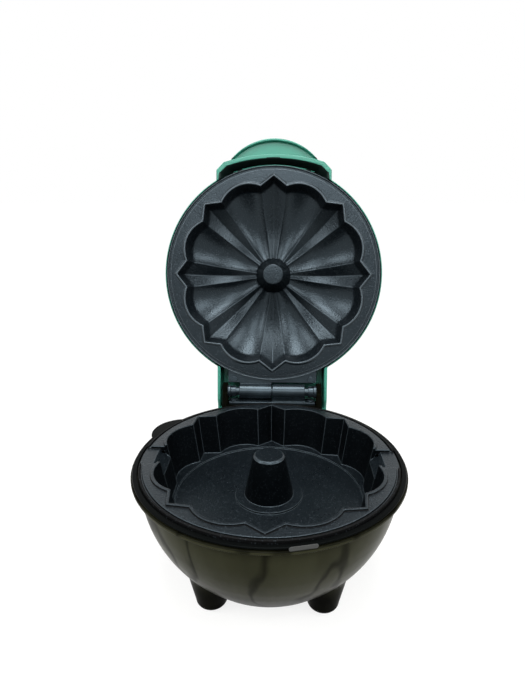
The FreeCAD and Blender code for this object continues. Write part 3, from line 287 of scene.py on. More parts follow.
@dataclass(frozen=True)
class Finish(ABC):
    """What all finishes share. Each kind adds what varies over the surface."""

    name: str
    slot: str
    colour: Colour
    roughness: float = 0.5
    metallic: float = 0.0
    ior: float = 1.5
    sheen: Colour = WHITE

    @cache
    def material(self) -> bpy.types.Material:
        """Returns: the finish as a material, made once."""
        material = bpy.data.materials.new(self.name)
        material.use_nodes = True
        graph = Graph(material.node_tree)
        inputs = {
            "Base Color": self.colour,
            "Roughness": self.roughness,
            "Metallic": self.metallic,
            "IOR": self.ior,
            "Specular Tint": self.sheen,
        }
        shader = graph.node("ShaderNodeBsdfPrincipled", **inputs)
        self.detail(graph, shader)
        graph.close("ShaderNodeOutputMaterial", shader)
        return material

    @abstractmethod
    def detail(self, graph: Graph, shader: bpy.types.Node) -> None:
        """Add what varies over the surface.

        Args:
            graph: the material's nodes.
            shader: the node that gives the surface its look.
        """


@dataclass(frozen=True)
class MouldedPlastic(Finish):
    """Moulded plastic with a faint orange-peel skin and handling marks.

    Attributes:
        peel_depth: depth of the skin, in metres.
        uneven: share by which patches of the colour are darker.
    """

    peel: float = 0.04
    peel_depth: float = 0.0002
    peel_scale: float = 900.0
    peel_rough: float = 0.06
    uneven: float = 0.12
    patch_scale: float = 26.0
    patch_rough: float = 0.1

    def roughen(self, graph: Graph, shader: bpy.types.Node) -> Signal:
        """Give the shader its skin.

        Returns: the height of the skin.
        """
        fine = graph.noise(self.peel_scale)
        graph.feed(shader.inputs["Normal"], graph.bump(fine, self.peel_depth, self.peel))
        return fine

    def detail(self, graph: Graph, shader: bpy.types.Node) -> None:
        """Vary the colour and gloss softly and roughen the skin."""
        fine = self.roughen(graph, shader)
        broad = graph.noise(self.patch_scale, 3.0)
        darker = darkened(self.colour, 1.0 - self.uneven)
        graph.feed(shader.inputs["Base Color"], graph.mix(broad, darker, self.colour))
        smoothest = self.roughness - (self.patch_rough + self.peel_rough) / 2
        rough = broad * self.patch_rough + fine * self.peel_rough + smoothest
        graph.feed(shader.inputs["Roughness"], rough)


@dataclass(frozen=True)
class PolishedPlastic(MouldedPlastic):
    """Polished plastic, matt behind a given plane and dull low down.

    Its colour holds painted reflection in dark streaks down the side, and painted shade at the
    foot, at the rear and on faces that look up.

    Attributes:
        matt_from: distance behind the axis, in metres, where the matt, painted-shade part starts.
        dull: heights, in metres, between which the dull foot with painted shade turns to gloss.
        coat_ior: refractive index of the polish.
        reflection_streak_width: how far the noise is from its middle at a painted reflection
            streak's edge.
        upright: how far a face looks up where its painted shade is at its darkest.
    """

    matt_from: float = 1.0
    matt: float = 0.6
    dull: Span = (0.0102, 0.034)
    coat_ior: float = 1.09
    reflection_streak_scale: float = 34.0
    reflection_streak_stretch: Place = (1.0, 1.0, 0.3)
    reflection_streak_width: float = 0.045
    cloud_scale: float = 48.0
    cloud_stretch: Place = (1.0, 1.0, 0.5)
    upright: float = 0.4

    def detail(self, graph: Graph, shader: bpy.types.Node) -> None:
        """Paint reflections as streaks down the side, and shade on the foot, rear and upward faces.
        """
        self.roughen(graph, shader)
        # painted reflection: dark streaks down the side
        wisp = graph.noise(self.reflection_streak_scale, 3.0, self.reflection_streak_stretch) - 0.5
        line = graph.math("ABSOLUTE", wisp, 0.0).spread(0.0, self.reflection_streak_width)
        cloud = graph.noise(self.cloud_scale, 4.0, self.cloud_stretch).spread(0.3, 0.7)
        _, back, height = graph.split(graph.place())
        _, _, facing = graph.split(graph.signal("ShaderNodeTexCoord", "Normal"))
        rear, low = back > self.matt_from, height.spread(*self.dull)
        # painted reflection streaks and painted shade at the foot
        painted_light = line.raised(0.6) * low.raised(0.9)
        gloss = painted_light * cloud.raised(0.4) * rear.lowered(1.0)
        # colour: painted reflection streaks, painted shade at the foot and at the rear
        tone = painted_light * cloud.raised(0.3) * rear.lowered(0.8)
        # painted shade on faces that look up
        tone = tone * facing.spread(0.0, self.upright).lowered(0.8)
        graph.feed(shader.inputs["Base Color"], graph.mix(tone, BLACK, self.colour))
        graph.feed(shader.inputs["Coat Weight"], gloss)
        graph.feed(shader.inputs["Coat Roughness"], self.roughness)
        graph.feed(shader.inputs["Coat IOR"], self.coat_ior)
        rough = rear * (self.matt - self.roughness) + self.roughness
        graph.feed(shader.inputs["Roughness"], rough)


@dataclass(frozen=True)
class NonStick(Finish):
    """Dark non-stick coat with fine pale specks in it and a soft sheen.

    Attributes:
        speck_share: share of the places for specks that have one.
        shade: share of the colour that is left in the darker clouds.
        grain_scales: how fine the coarse and the fine pebbles are.
        smoother: how far the smoothest places are below the roughness.
    """

    speck: Colour = (0.1, 0.125, 0.145)
    speck_scale: float = 1500.0
    speck_share: float = 0.2
    speck_tint: float = 0.18
    shade: float = 0.7
    cloud_scale: float = 60.0
    cloud_rough: float = 0.08
    grain_scales: Span = (900.0, 1400.0)
    grain_rough: float = 0.14
    smoother: float = 0.16
    pebble_depth: float = 0.0002
    pebble: float = 0.6

    def detail(self, graph: Graph, shader: bpy.types.Node) -> None:
        """Scatter specks and give the coat a pebbled skin."""
        cells = graph.cells(self.speck_scale)
        hue = Signal(graph, cells.outputs["Color"])
        chance = graph.signal("ShaderNodeSeparateColor", Color=hue)
        core = Signal(graph, cells.outputs["Distance"]) * -1.0 + 0.5
        specks = (chance > 1.0 - self.speck_share) * core.spread(0.0, 0.25)
        cloud = graph.noise(self.cloud_scale, 4.0)
        coat = graph.mix(cloud, darkened(self.colour, self.shade), self.colour)
        tint = graph.mix(specks * self.speck_tint, coat, self.speck)
        graph.feed(shader.inputs["Base Color"], tint)
        coarse, fine = self.grain_scales
        grain = graph.noise(fine, 3.0) + graph.noise(coarse, 1.0) * 0.8
        smoothest = self.roughness - self.smoother
        rough = grain * self.grain_rough + cloud * self.cloud_rough + smoothest
        graph.feed(shader.inputs["Roughness"], rough)
        skin = graph.bump(grain + specks * 0.3, self.pebble_depth, self.pebble)
        graph.feed(shader.inputs["Normal"], skin)


@dataclass(frozen=True)
class BrushedMetal(Finish):
    """Metal drawn along one axis.

    Attributes:
        stretch: how the lines are drawn out along the axes.
        shade: share of the colour that is left in the dull patches.
    """

    stretch: Place = (0.04, 1.0, 1.0)
    line_scale: float = 2600.0
    line_rough: float = 0.22
    line_depth: float = 0.0001
    line: float = 0.25
    patch_scale: float = 90.0
    patch_rough: float = 0.1
    shade: float = 0.55

    def detail(self, graph: Graph, shader: bpy.types.Node) -> None:
        """Draw fine lines along the axis and dull the metal in patches."""
        lines = graph.noise(self.line_scale, 3.0, self.stretch)
        patch = graph.noise(self.patch_scale, 3.0)
        dull = darkened(self.colour, self.shade)
        tint = graph.mix(patch.spread(0.35, 0.7), dull, self.colour)
        graph.feed(shader.inputs["Base Color"], tint)
        smoothest = self.roughness - (self.line_rough + self.patch_rough) / 2
        rough = lines * self.line_rough + patch * self.patch_rough + smoothest
        graph.feed(shader.inputs["Roughness"], rough)
        graph.feed(shader.inputs["Normal"], graph.bump(lines, self.line_depth, self.line))


@dataclass(frozen=True)
class ClearPlastic(Finish):
    """Tinted clear plastic with a faint haze."""

    clear: float = 0.6
    haze_scale: float = 300.0
    haze_rough: float = 0.08

    def detail(self, graph: Graph, shader: bpy.types.Node) -> None:
        """Let light through the piece."""
        graph.feed(shader.inputs["Transmission Weight"], self.clear)
        rough = graph.noise(self.haze_scale) * self.haze_rough + self.roughness
        graph.feed(shader.inputs["Roughness"], rough)


class Look(Enum):
    """Finish of each kind of piece."""

    # its olive tint is painted reflection of a warm surround on the black polish
    BOWL = PolishedPlastic("bowl_black", "black_plastic", (0.044, 0.045, 0.024), 0.32, ior=1.05,
                           matt_from=0.056)
    TRIM = MouldedPlastic("trim_black", "black_trim", (0.0012, 0.0015, 0.0015), 0.35, ior=1.1,
                          sheen=(0.8, 0.95, 0.95))
    AQUA = MouldedPlastic("lid_aqua", "aqua_plastic", (0.042, 0.255, 0.185), 0.36, ior=1.42)
    # painted shade: near-black aqua for the lid shell's inner faces and the apron's pocket
    AQUA_PAINTED_SHADE = MouldedPlastic("lid_aqua_painted_shade", "aqua_plastic", (0.005, 0.013, 0.011), 0.5,
                                 ior=1.25)
    NONSTICK = NonStick("nonstick_coat", "nonstick_cast", (0.002, 0.0033, 0.0045), 0.3, ior=1.47,
                        sheen=COAT_SHEEN)
    # painted highlight: pale coat on the upper mould's crest corners
    COAT_CREST_HIGHLIGHT = NonStick("nonstick_crest_highlight", "nonstick_cast", (0.06, 0.074, 0.084), 0.34, ior=1.45,
                          sheen=COAT_SHEEN)
    # painted highlight: paler coat on the lower mould's bead
    COAT_BEAD_HIGHLIGHT = NonStick("nonstick_bead_highlight", "nonstick_cast", (0.015, 0.019, 0.022), 0.34, ior=1.36,
                         sheen=COAT_SHEEN)
    # painted shade: darker, less glossy coat for steep walls
    COAT_WALL_SHADE = NonStick("nonstick_wall_shade", "nonstick_cast", (0.001, 0.0015, 0.002), 0.36, ior=1.17,
                         sheen=COAT_SHEEN, speck=(0.03, 0.038, 0.044))
    # painted highlight: paler coat on softened edges off the crest
    COAT_EDGE_HIGHLIGHT = NonStick("nonstick_edge_highlight", "nonstick_cast", (0.02, 0.026, 0.03), 0.34, ior=1.45,
                         sheen=COAT_SHEEN)
    # painted shade: near-black coat for creases and the lower mould's outer side
    COAT_CREASE_SHADE = NonStick("nonstick_crease_shade", "nonstick_cast", (0.0005, 0.0007, 0.0009), 0.6,
                           ior=1.2)
    STEEL = BrushedMetal("steel_grey", "hinge_steel", (0.024, 0.034, 0.042), 0.24, 0.35, ior=1.5,
                         sheen=(0.72, 0.9, 1.0))
    TAB = MouldedPlastic("tab_grey", "tab_plastic", (0.035, 0.037, 0.036), 0.5)
    HEATER = BrushedMetal("heater_dark", "heater_tube", (0.16, 0.15, 0.15), 0.5, 1.0)
    REFLECTOR = BrushedMetal("reflector_bright", "reflector", (0.7, 0.71, 0.72), 0.3, 1.0)
    INSULATOR = MouldedPlastic("insulator_pale", "insulator", (0.6, 0.56, 0.47), 0.6)
    SLEEVE = MouldedPlastic("sleeve_pale", "wire_sleeve", (0.45, 0.42, 0.38), 0.7)
    RUBBER = MouldedPlastic("pad_rubber", "rubber_pad", (0.012, 0.012, 0.012), 0.8, peel=0.2)
    LENS = ClearPlastic("amber_clear", "lens_amber", (0.75, 0.16, 0.03), 0.12)
    GLASS = ClearPlastic("glass_clear", "lamp_glass", (0.9, 0.85, 0.8), 0.08)


@dataclass(frozen=True)
class LidSwing:
    """Where the lid turns, in mm and degrees."""

    hinge: Place = (0.0, 67.2, 64.7)
    angle: float = 104.0

    def opened(self) -> Matrix:
        """Returns: the turn about the hinge that opens the closed lid."""
        hinge = Matrix.Translation(Vector(self.hinge) * MM)
        return hinge @ Matrix.Rotation(math.radians(-self.angle), 4, "X") @ hinge.inverted()


@dataclass(frozen=True)
class Crest:
    """The raised part of a piece: what is above a height and outside a radius, in mm.

    Attributes:
        height: lowest height of the crest.
        radius: smallest distance from the upright axis.
        rest: share of the softening that edges outside the crest get.
        ridge: painted highlight on the crest's outer edges.
        crease: painted shade on the inner edges along the crest, and on all outside the skirt's
            radius.
        edge: painted highlight on the other softened edges.
        wall: painted shade on the steep faces.
        skirt: inner radius of the skirt.
        edge_slack: how far below the crest edges are still softened in full.
        crease_slack: how far below the crest its creases may lie.
        steep: faces that look up or down by less than this are steep.
    """

    height: float
    radius: float
    rest: float
    ridge: Look
    crease: Look
    edge: Look
    wall: Look
    skirt: float
    edge_slack: float = 1.5
    crease_slack: float = 2.2
    steep: float = 0.5

    def holds(self, place: Vector, slack: float = 0.0) -> bool:
        """Returns: whether a place is on the crest, or lower by no more than the slack."""
        return place.z >= (self.height - slack) * MM and place.xy.length >= self.radius * MM


@dataclass(frozen=True)
class PaintedShadeArea:
    """Where the closed lid's shell gets painted shade, in mm: its inner faces and the apron's
    pocket.

    Attributes:
        lean: how far a face has to look towards the axis.
        reach: faces further from the axis are outside.
        front: the apron's pocket is in front of this.
        half_width: half the pocket's width.
        ring: the pocket's inner and outer radius.
        top: height of the pocket.
        down: how far a face of the pocket has to look down.
    """

    lean: float = 0.35
    reach: float = 67.0
    front: float = -50.0
    half_width: float = 30.7
    ring: Span = (60.0, 64.2)
    top: float = 75.0
    down: float = 0.4

    def covers(self, place: Vector, normal: Vector) -> bool:
        """Returns: whether a face at a place, with a normal, gets painted shade."""
        away = place.xy.length
        if normal.xy.dot(place.xy) < -self.lean * away and away < self.reach * MM:
            return True
        inner, outer = self.ring
        pocket = place.y < self.front * MM and abs(place.x) < self.half_width * MM
        pocket = pocket and inner * MM < away < outer * MM and place.z < self.top * MM
        return pocket and normal.z < -self.down


@dataclass(frozen=True)
class Piece:
    """How one CAD node is shown.

    Attributes:
        edge_mm: width of its softened edges, or 0 to show the node itself.
        angle: edges that bend more than this, in degrees, are softened.
        above_mm: edges below this height stay as they are.
        crest: its raised part, if it has one.
        inside: painted shade on the faces that look towards the lid's axis, where it differs.
    """

    node: str
    look: Look
    edge_mm: float = 0.0
    angle: float = 28.0
    above_mm: float = 0.0
    crest: Crest | None = None
    inside: Look | None = None

    def bends(self, edge: bmesh.types.BMEdge) -> bool:
        """Returns: whether an edge bends enough to be softened."""
        return edge.calc_face_angle(0.0) >= math.radians(self.angle)

    def looks(self) -> list[Look]:
        """Returns: the finishes in the order of the material slots."""
        if self.crest:
            crest = self.crest
            return [self.look, crest.ridge, crest.crease, crest.edge, crest.wall]
        return [self.look, self.inside] if self.inside else [self.look]


class Workshop:
    """Shows CAD nodes: gives each its finish, and softens the edges of those that are seen."""

    def __init__(self, frame: dict) -> None:
        self.frame = frame

    def show(self, piece: Piece, body: Body) -> bpy.types.Object:
        """Show one node.

        Args:
            piece: the node and how it is shown.
            body: the body that it moves with.

        Returns: the object that is shown.
        """
        node = self.frame["nodes"][piece.node]
        if not piece.edge_mm:
            self._paint(node, piece)
            return node
        return self.stand_in(self._softened(node, piece), piece.node, body)

    def stand_in(self, shown: bpy.types.Object, node: str,
                 body: Body) -> bpy.types.Object:
        """Let an object stand for a CAD node.

        Args:
            shown: the object.
            node: the CAD node.
            body: the body that it moves with.

        Returns: the object.
        """
        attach(shown, body.value)
        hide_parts(node)
        return shown

    def _paint(self, shown: bpy.types.Object, piece: Piece) -> None:
        shown.data.materials.clear()
        for look in piece.looks():
            shown.data.materials.append(look.value.material())

    def _softened(self, node: bpy.types.Object, piece: Piece) -> bpy.types.Object:
        work = welded(node)
        share = work.edges.layers.float.new("bevel_weight_edge")
        for edge in work.edges:
            edge[share] = self._share(edge, piece)
            edge.smooth = edge[share] > 0 or not piece.bends(edge)
        mesh = bpy.data.meshes.new(f"{piece.node}_soft")
        work.to_mesh(mesh)
        surface = BVHTree.FromBMesh(work)
        work.free()
        shown = placed(f"{piece.node}_shown", mesh)
        self._paint(shown, piece)
        bevel = shown.modifiers.new("edges", "BEVEL")
        bevel.width = piece.edge_mm * MM
        # a crested piece's bevel faces get the painted highlight finish
        bevel.material = 1 if piece.crest else -1
        bevel.segments = 3
        bevel.limit_method = "WEIGHT"
        bevel.use_clamp_overlap = False
        bevel.loop_slide = False
        self._settled(shown)
        if piece.crest:
            self._crested(shown.data, surface, piece.crest)
        # painted shade on the lid shell's inner faces and pocket
        if piece.inside:
            self._shade_painted(shown.data, LidSwing().opened().inverted())
        return shown

    def _share(self, edge: bmesh.types.BMEdge, piece: Piece) -> float:
        lower = min((vertex.co for vertex in edge.verts), key=lambda place: place.z)
        if lower.z < piece.above_mm * MM or not piece.bends(edge):
            return 0.0
        crest = piece.crest
        return 1.0 if not crest or crest.holds(lower, crest.edge_slack) else crest.rest

    def _crested(self, mesh: bpy.types.Mesh, surface: BVHTree, crest: Crest) -> None:
        # slots: plain coat, painted highlight, painted shade, painted highlight, painted shade
        plain, ridge, crease, edge, wall = range(5)
        for polygon in mesh.polygons:
            # painted shade on all beyond the skirt
            if polygon.center.xy.length > crest.skirt * MM:
                polygon.material_index = crease
            # painted shade on the steep faces
            elif polygon.material_index == plain and abs(polygon.normal.z) < crest.steep:
                polygon.material_index = wall
            # off the crest: painted shade in hollows, painted highlight on edges
            elif polygon.material_index == ridge and not crest.holds(polygon.center):
                nearest, normal, _, _ = surface.find_nearest(polygon.center)
                filled = (polygon.center - nearest).dot(normal) > 0
                inner = filled and crest.holds(polygon.center, crest.crease_slack)
                polygon.material_index = crease if inner else edge

    def _shade_painted(self, mesh: bpy.types.Mesh, closed: Matrix) -> None:
        turn, shade_area = closed.to_3x3(), PaintedShadeArea()
        for polygon in mesh.polygons:
            if shade_area.covers(closed @ polygon.center, turn @ polygon.normal):
                # this face gets the painted shade
                polygon.material_index = 1

    def _settled(self, shown: bpy.types.Object) -> None:
        for polygon in shown.data.polygons:
            polygon.use_smooth = True
        normals = shown.modifiers.new("normals", "WEIGHTED_NORMAL")
        normals.keep_sharp = True
        settled = evaluated(shown)
        shown.modifiers.clear()
        shown.data = settled


class Lattice:
    """A Geometry Nodes tree with named inputs, put on an object as a modifier."""

    def __init__(self, name: str) -> None:
        self.tree = bpy.data.node_groups.new(name, "GeometryNodeTree")
        self.graph = Graph(self.tree)
        self.values: dict[str, object] = {}
        self._socket("Geometry", "NodeSocketGeometry")
        result = {"in_out": "OUTPUT", "socket_type": "NodeSocketGeometry"}
        self.tree.interface.new_socket("Geometry", **result)
        self.inlet = self.tree.nodes.new("NodeGroupInput")
        self.outlet = self.tree.nodes.new("NodeGroupOutput")

    def _socket(self, name: str, kind: str) -> str:
        return self.tree.interface.new_socket(name, in_out="INPUT", socket_type=kind).identifier

    def size(self, name: str, kind: str, value: object) -> Signal:
        """Add a named input.

        Args:
            name: name of the input.
            kind: type of its socket.
            value: the value it gets.

        Returns: the input as a signal.
        """
        self.values[self._socket(name, kind)] = value
        return Signal(self.graph, self.inlet.outputs[name])

    def settle(self, shown: bpy.types.Object, result: Signal) -> bpy.types.Mesh:
        """Run the tree on an object.

        Args:
            shown: the object whose mesh goes in.
            result: the geometry that comes out.

        Returns: the outcome as a plain mesh.
        """
        self.tree.links.new(result.socket, self.outlet.inputs["Geometry"])
        modifier = shown.modifiers.new(self.tree.name, "NODES")
        modifier.node_group = self.tree
        for identifier, value in self.values.items():
            modifier[identifier] = value
        mesh = evaluated(shown)
        shown.modifiers.remove(modifier)
        return mesh


@dataclass(frozen=True)
class Corner:
    """A corner of a radial section, in mm.

    Attributes:
        radius: distance from the axis.
        depth: depth below the flange's face.
        rounding: length of each side that its rounding takes up.
        pale: whether the coat is painted pale on it as a highlight.
    """

    radius: float
    depth: float
    rounding: float = 0.0
    pale: bool = False

    LARGEST_SHARE: ClassVar[float] = 0.48

    def towards(self, other: Corner) -> Corner:
        """Returns: the end of the rounding on the side of the other corner."""
        away = math.hypot(other.radius - self.radius, other.depth - self.depth)
        return self.between(other, min(self.rounding / away, self.LARGEST_SHARE))

    def between(self, other: Corner, share: float) -> Corner:
        """Returns: the point at a share of the way to the other corner."""
        radius = self.radius + (other.radius - self.radius) * share
        return Corner(radius, self.depth + (other.depth - self.depth) * share, pale=self.pale)


@dataclass(frozen=True)
class CrownSizes:
    """Sizes of the upper mould in mm and degrees, as in the CAD part with the lid closed."""

    lobes: int = 8
    face: float = 63.0
    thick: float = 2.3
    plate: float = 60.2
    tip: float = 54.5
    notch: float = 49.2
    lobe: float = 52.6
    notch_angle: float = 8.7
    bead_width: float = 1.6
    bead_height: float = 0.85
    draft: float = 0.45
    depth: float = 15.0
    deepest: float = 17.36
    ring: float = 22.0
    curve: float = 32.0
    slope: float = 0.1
    boss_top: float = 5.6
    boss_foot: float = 11.0
    line_inner: float = 58.3
    line_outer: float = 59.7
    line_depth: float = 1.1


@dataclass(frozen=True)
class Roundings:
    """Roundings in the upper mould's section, and the gaps that they leave free, in mm."""

    boss: float = 0.7
    foot: float = 1.2
    wall: float = 1.6
    bead: float = 0.3
    rim: float = 0.35
    groove: float = 0.25
    foot_gap: float = 1.3
    wall_gap: float = 1.7


@dataclass
class FlutedCrown:
    """The upper mould: a sector by the rule of the flutes, repeated round the axis.

    Attributes:
        crease: width of the rounding of a crease, in mm.
        near: angle to each side of a crease in which sections are closer, in degrees.
        ease_steps: steps to each side over which a crease is averaged.
        flat: faces that look up by less than this belong to the front.
        slack: how far below the back a side face has to be, in mm.
        join: distance at which sectors are joined, in mm.
    """

    sizes: CrownSizes = CrownSizes()
    round: Roundings = Roundings()
    crease: float = 0.3
    crest: float = 0.7
    near: float = 1.3
    counts: tuple[int, ...] = (5, 6, 10, 14)
    ease_steps: int = 3
    passes: int = 24
    bed_steps: int = 28
    arc_steps: int = 4
    flat: float = 0.2
    slack: float = 0.02
    join: float = 0.005
    node: str = "lid_mould"

    @property
    def pitch(self) -> float:
        """Returns: the angle of one sector in degrees."""
        return 360.0 / self.sizes.lobes

    def angles(self) -> list[float]:
        """Returns: the angles of the sector's sections, closer together along its creases."""
        notch, end, near = self.sizes.notch_angle, self.pitch / 2, self.near
        stops = (0.0, near, notch - near, notch + near, end)
        half = [low + (high - low) * step / count
                for low, high, count in zip(stops, stops[1:], self.counts) for step in range(count)]
        half.append(end)
        return [-angle for angle in reversed(half[1:])] + half

    def off_tip(self, angle: float) -> float:
        """Returns: how far an angle is from the nearest tip."""
        return abs((angle + self.pitch / 2) % self.pitch - self.pitch / 2)

    def outline(self, angle: float) -> float:
        """Returns: the radius of the cake's edge at an angle from a tip."""
        size = self.sizes
        off = self.off_tip(angle)
        if off < size.notch_angle:
            notch = math.radians(size.notch_angle)
            across = size.notch * math.sin(notch)
            along = size.notch * math.cos(notch) - size.tip
            turn = math.radians(off)
            return size.tip * across / (math.cos(turn) * across - math.sin(turn) * along)
        half = math.radians(self.pitch / 2 - size.notch_angle)
        bend = arc_radius(size.notch * math.sin(half), size.lobe - size.notch * math.cos(half))
        centre = size.lobe - bend
        turn = math.radians(self.pitch / 2 - off)
        return centre * math.cos(turn) + math.sqrt(bend * bend - (centre * math.sin(turn)) ** 2)

    def bed(self, radius: float, angle: float) -> float:
        """Returns: the depth of the flutes at a radius and an angle from a tip."""
        size = self.sizes
        off = self.off_tip(angle)
        pointed = off < size.notch_angle
        half = math.radians(size.notch_angle if pointed else self.pitch / 2 - size.notch_angle)
        turn = math.radians(off if pointed else self.pitch / 2 - off)
        along = radius * math.cos(turn) / math.cos(half)
        share = math.tan(turn) / math.tan(half)
        rise = size.slope * along
        ridge = size.depth - (along - size.ring) ** 2 / (2 * size.curve)
        if pointed:
            return ridge + rise * (1 - share)
        wide = along * math.sin(half)
        bend = arc_radius(wide, rise)
        return ridge + rise - bend + math.sqrt(bend * bend - (share * wide) ** 2)

    def eased(self, rule: Callable[[float], float], angle: float, radius: float) -> float:
        """A rule's value with its creases rounded off.

        Args:
            rule: gives a value for an angle.
            angle: the angle.
            radius: the radius at which the rounding is as wide as the crease.

        Returns: the mean over the width of the crease.
        """
        reach, steps = math.degrees(self.crease / radius), self.ease_steps
        values = [rule(angle + reach * step / steps) for step in range(-steps, steps + 1)]
        return sum(values) / len(values)

    def section(self, angle: float) -> list[Corner]:
        """Returns: the corners of the mould's section at an angle, from the axis to the edge."""
        size, rounding = self.sizes, self.round

        def depth(radius: float) -> float:
            return self.eased(lambda turned: self.bed(radius, turned), angle, radius)

        rim = self.eased(self.outline, angle, size.notch)
        foot, wall = size.boss_foot, rim
        for _ in range(self.passes):
            foot = size.boss_top + (size.boss_foot - size.boss_top) * depth(foot) / size.deepest
            wall = rim - size.draft * depth(wall)
        first, last = foot + rounding.foot_gap, wall - rounding.wall_gap
        steps = self.bed_steps
        radii = [first + (last - first) * step / steps for step in range(steps + 1)]
        outer = rim + size.bead_width
        return [
            Corner(0.0, 0.0),
            Corner(size.boss_top, 0.0, rounding.boss),
            Corner(foot, depth(foot), rounding.foot),
            *(Corner(radius, depth(radius)) for radius in radii),
            Corner(wall, depth(wall), rounding.wall),
            # the corners marked True get the painted highlight
            Corner(rim, -size.bead_height, rounding.bead, True),
            Corner(rim + self.crest, -size.bead_height, rounding.bead, True),
            Corner(outer, 0.0, rounding.bead),
            Corner(size.line_inner, 0.0, rounding.rim, True),
            Corner(size.line_inner, size.line_depth, rounding.groove),
            Corner(size.line_outer, size.line_depth, rounding.groove),
            Corner(size.line_outer, 0.0, rounding.rim, True),
            Corner(size.plate, 0.0, rounding.rim, True),
            Corner(size.plate, size.thick),
        ]

    def rounded(self, corners: list[Corner]) -> list[Corner]:
        """Returns: the section with its corners rounded."""
        points = [corners[0]]
        for before, corner, after in zip(corners, corners[1:], corners[2:]):
            if not corner.rounding:
                points.append(corner)
                continue
            start, end = corner.towards(before), corner.towards(after)
            for step in range(self.arc_steps + 1):
                share = step / self.arc_steps
                here, there = start.between(corner, share), corner.between(end, share)
                points.append(here.between(there, share))
        return [*points, corners[-1]]

    def sector(self) -> bpy.types.Mesh:
        """Returns: the mesh of one sector, in metres, with the lid closed."""
        angles = self.angles()
        sections = [self.rounded(self.section(angle)) for angle in angles]
        across = len(sections[0])
        places = []
        for angle, section in zip(angles, sections):
            across_x, across_y = math.cos(math.radians(angle)), math.sin(math.radians(angle))
            places += [(point.radius * across_x * MM, point.radius * across_y * MM,
                        (self.sizes.face + point.depth) * MM) for point in section]
        faces, pale = [], []
        for row in range(len(angles) - 1):
            for column in range(across - 1):
                start = row * across + column
                faces.append((start, start + across, start + across + 1, start + 1))
                pale.append(sections[0][column].pale and sections[0][column + 1].pale)
        mesh = bpy.data.meshes.new("crown_sector")
        mesh.from_pydata(places, [], faces)
        mesh.attributes.new("pale", "BOOLEAN", "FACE").data.foreach_set("value", pale)
        mesh.polygons.foreach_set("use_smooth", [True] * len(faces))
        return mesh

    def front(self) -> bpy.types.Mesh:
        """Returns: the front of the mould, its sectors joined."""
        holder = placed("crown_sector", self.sector())
        lattice = Lattice("repeat_sector")
        graph = lattice.graph
        count = lattice.size("Lobes", "NodeSocketInt", self.sizes.lobes)
        pitch = lattice.size("Pitch", "NodeSocketFloat", math.radians(self.pitch))
        join = lattice.size("Join", "NodeSocketFloat", self.join * MM)
        coat = lattice.size("Coat", "NodeSocketMaterial", Look.NONSTICK.value.material())
        # painted highlight for the pale corners
        painted_light = lattice.size("PaintedHighlight", "NodeSocketMaterial", Look.COAT_CREST_HIGHLIGHT.value.material())
        index = graph.signal("GeometryNodeInputIndex")
        turn = graph.signal("ShaderNodeCombineXYZ", Z=index * pitch)
        rotation = graph.signal("FunctionNodeEulerToRotation", Euler=turn)
        points = graph.signal("GeometryNodePoints", Count=count)
        sector = Signal(graph, lattice.inlet.outputs["Geometry"])
        copies = graph.signal("GeometryNodeInstanceOnPoints", Points=points, Instance=sector,
                              Rotation=rotation)
        whole = graph.signal("GeometryNodeRealizeInstances", Geometry=copies)
        merged = graph.signal("GeometryNodeMergeByDistance", Geometry=whole, Distance=join)
        kind = {"data_type": "BOOLEAN"}
        pale = graph.signal("GeometryNodeInputNamedAttribute", settings=kind, Name="pale")
        coated = graph.signal("GeometryNodeSetMaterial", Geometry=merged, Material=coat)
        # pale faces get the painted highlight
        done = graph.signal("GeometryNodeSetMaterial", Geometry=coated, Selection=pale,
                            Material=painted_light)
        mesh = lattice.settle(holder, done)
        bpy.data.objects.remove(holder)
        return mesh

    def build(self, workshop: Workshop) -> bpy.types.Object:
        """Put the front on the back of the CAD node and show them as one piece.

        Args:
            workshop: shows pieces in place of CAD nodes.

        Returns: the object that is shown.
        """
        opened = LidSwing().opened()
        closed = opened.inverted()
        turn = closed.to_3x3()
        back = (self.sizes.face + self.sizes.thick - self.slack) * MM

        def in_front(face: bmesh.types.BMFace) -> bool:
            up = (turn @ face.normal).z
            below = (closed @ face.calc_center_median()).z < back
            return up < -self.flat or (up < self.flat and below)

        work = welded(workshop.frame["nodes"][self.node])
        front = [face for face in work.faces if in_front(face)]
        bmesh.ops.delete(work, geom=front, context="FACES")
        for face in work.faces:
            face.smooth = False
        crown = self.front()
        crown.transform(opened)
        work.from_mesh(crown)
        mesh = bpy.data.meshes.new(f"{self.node}_crown")
        work.to_mesh(mesh)
        work.free()
        for material in crown.materials:
            mesh.materials.append(material)
        shown = placed(f"{self.node}_shown", mesh)
        return workshop.stand_in(shown, self.node, Body.LID)


@dataclass
class SubAssembly:
    """Pieces that move together."""

    body: Body
    pieces: list[Piece]

    def build(self, workshop: Workshop) -> None:
        """Show every piece."""
        for piece in self.pieces:
            workshop.show(piece, self.body)
            LOG.info("shown %s", piece.node)


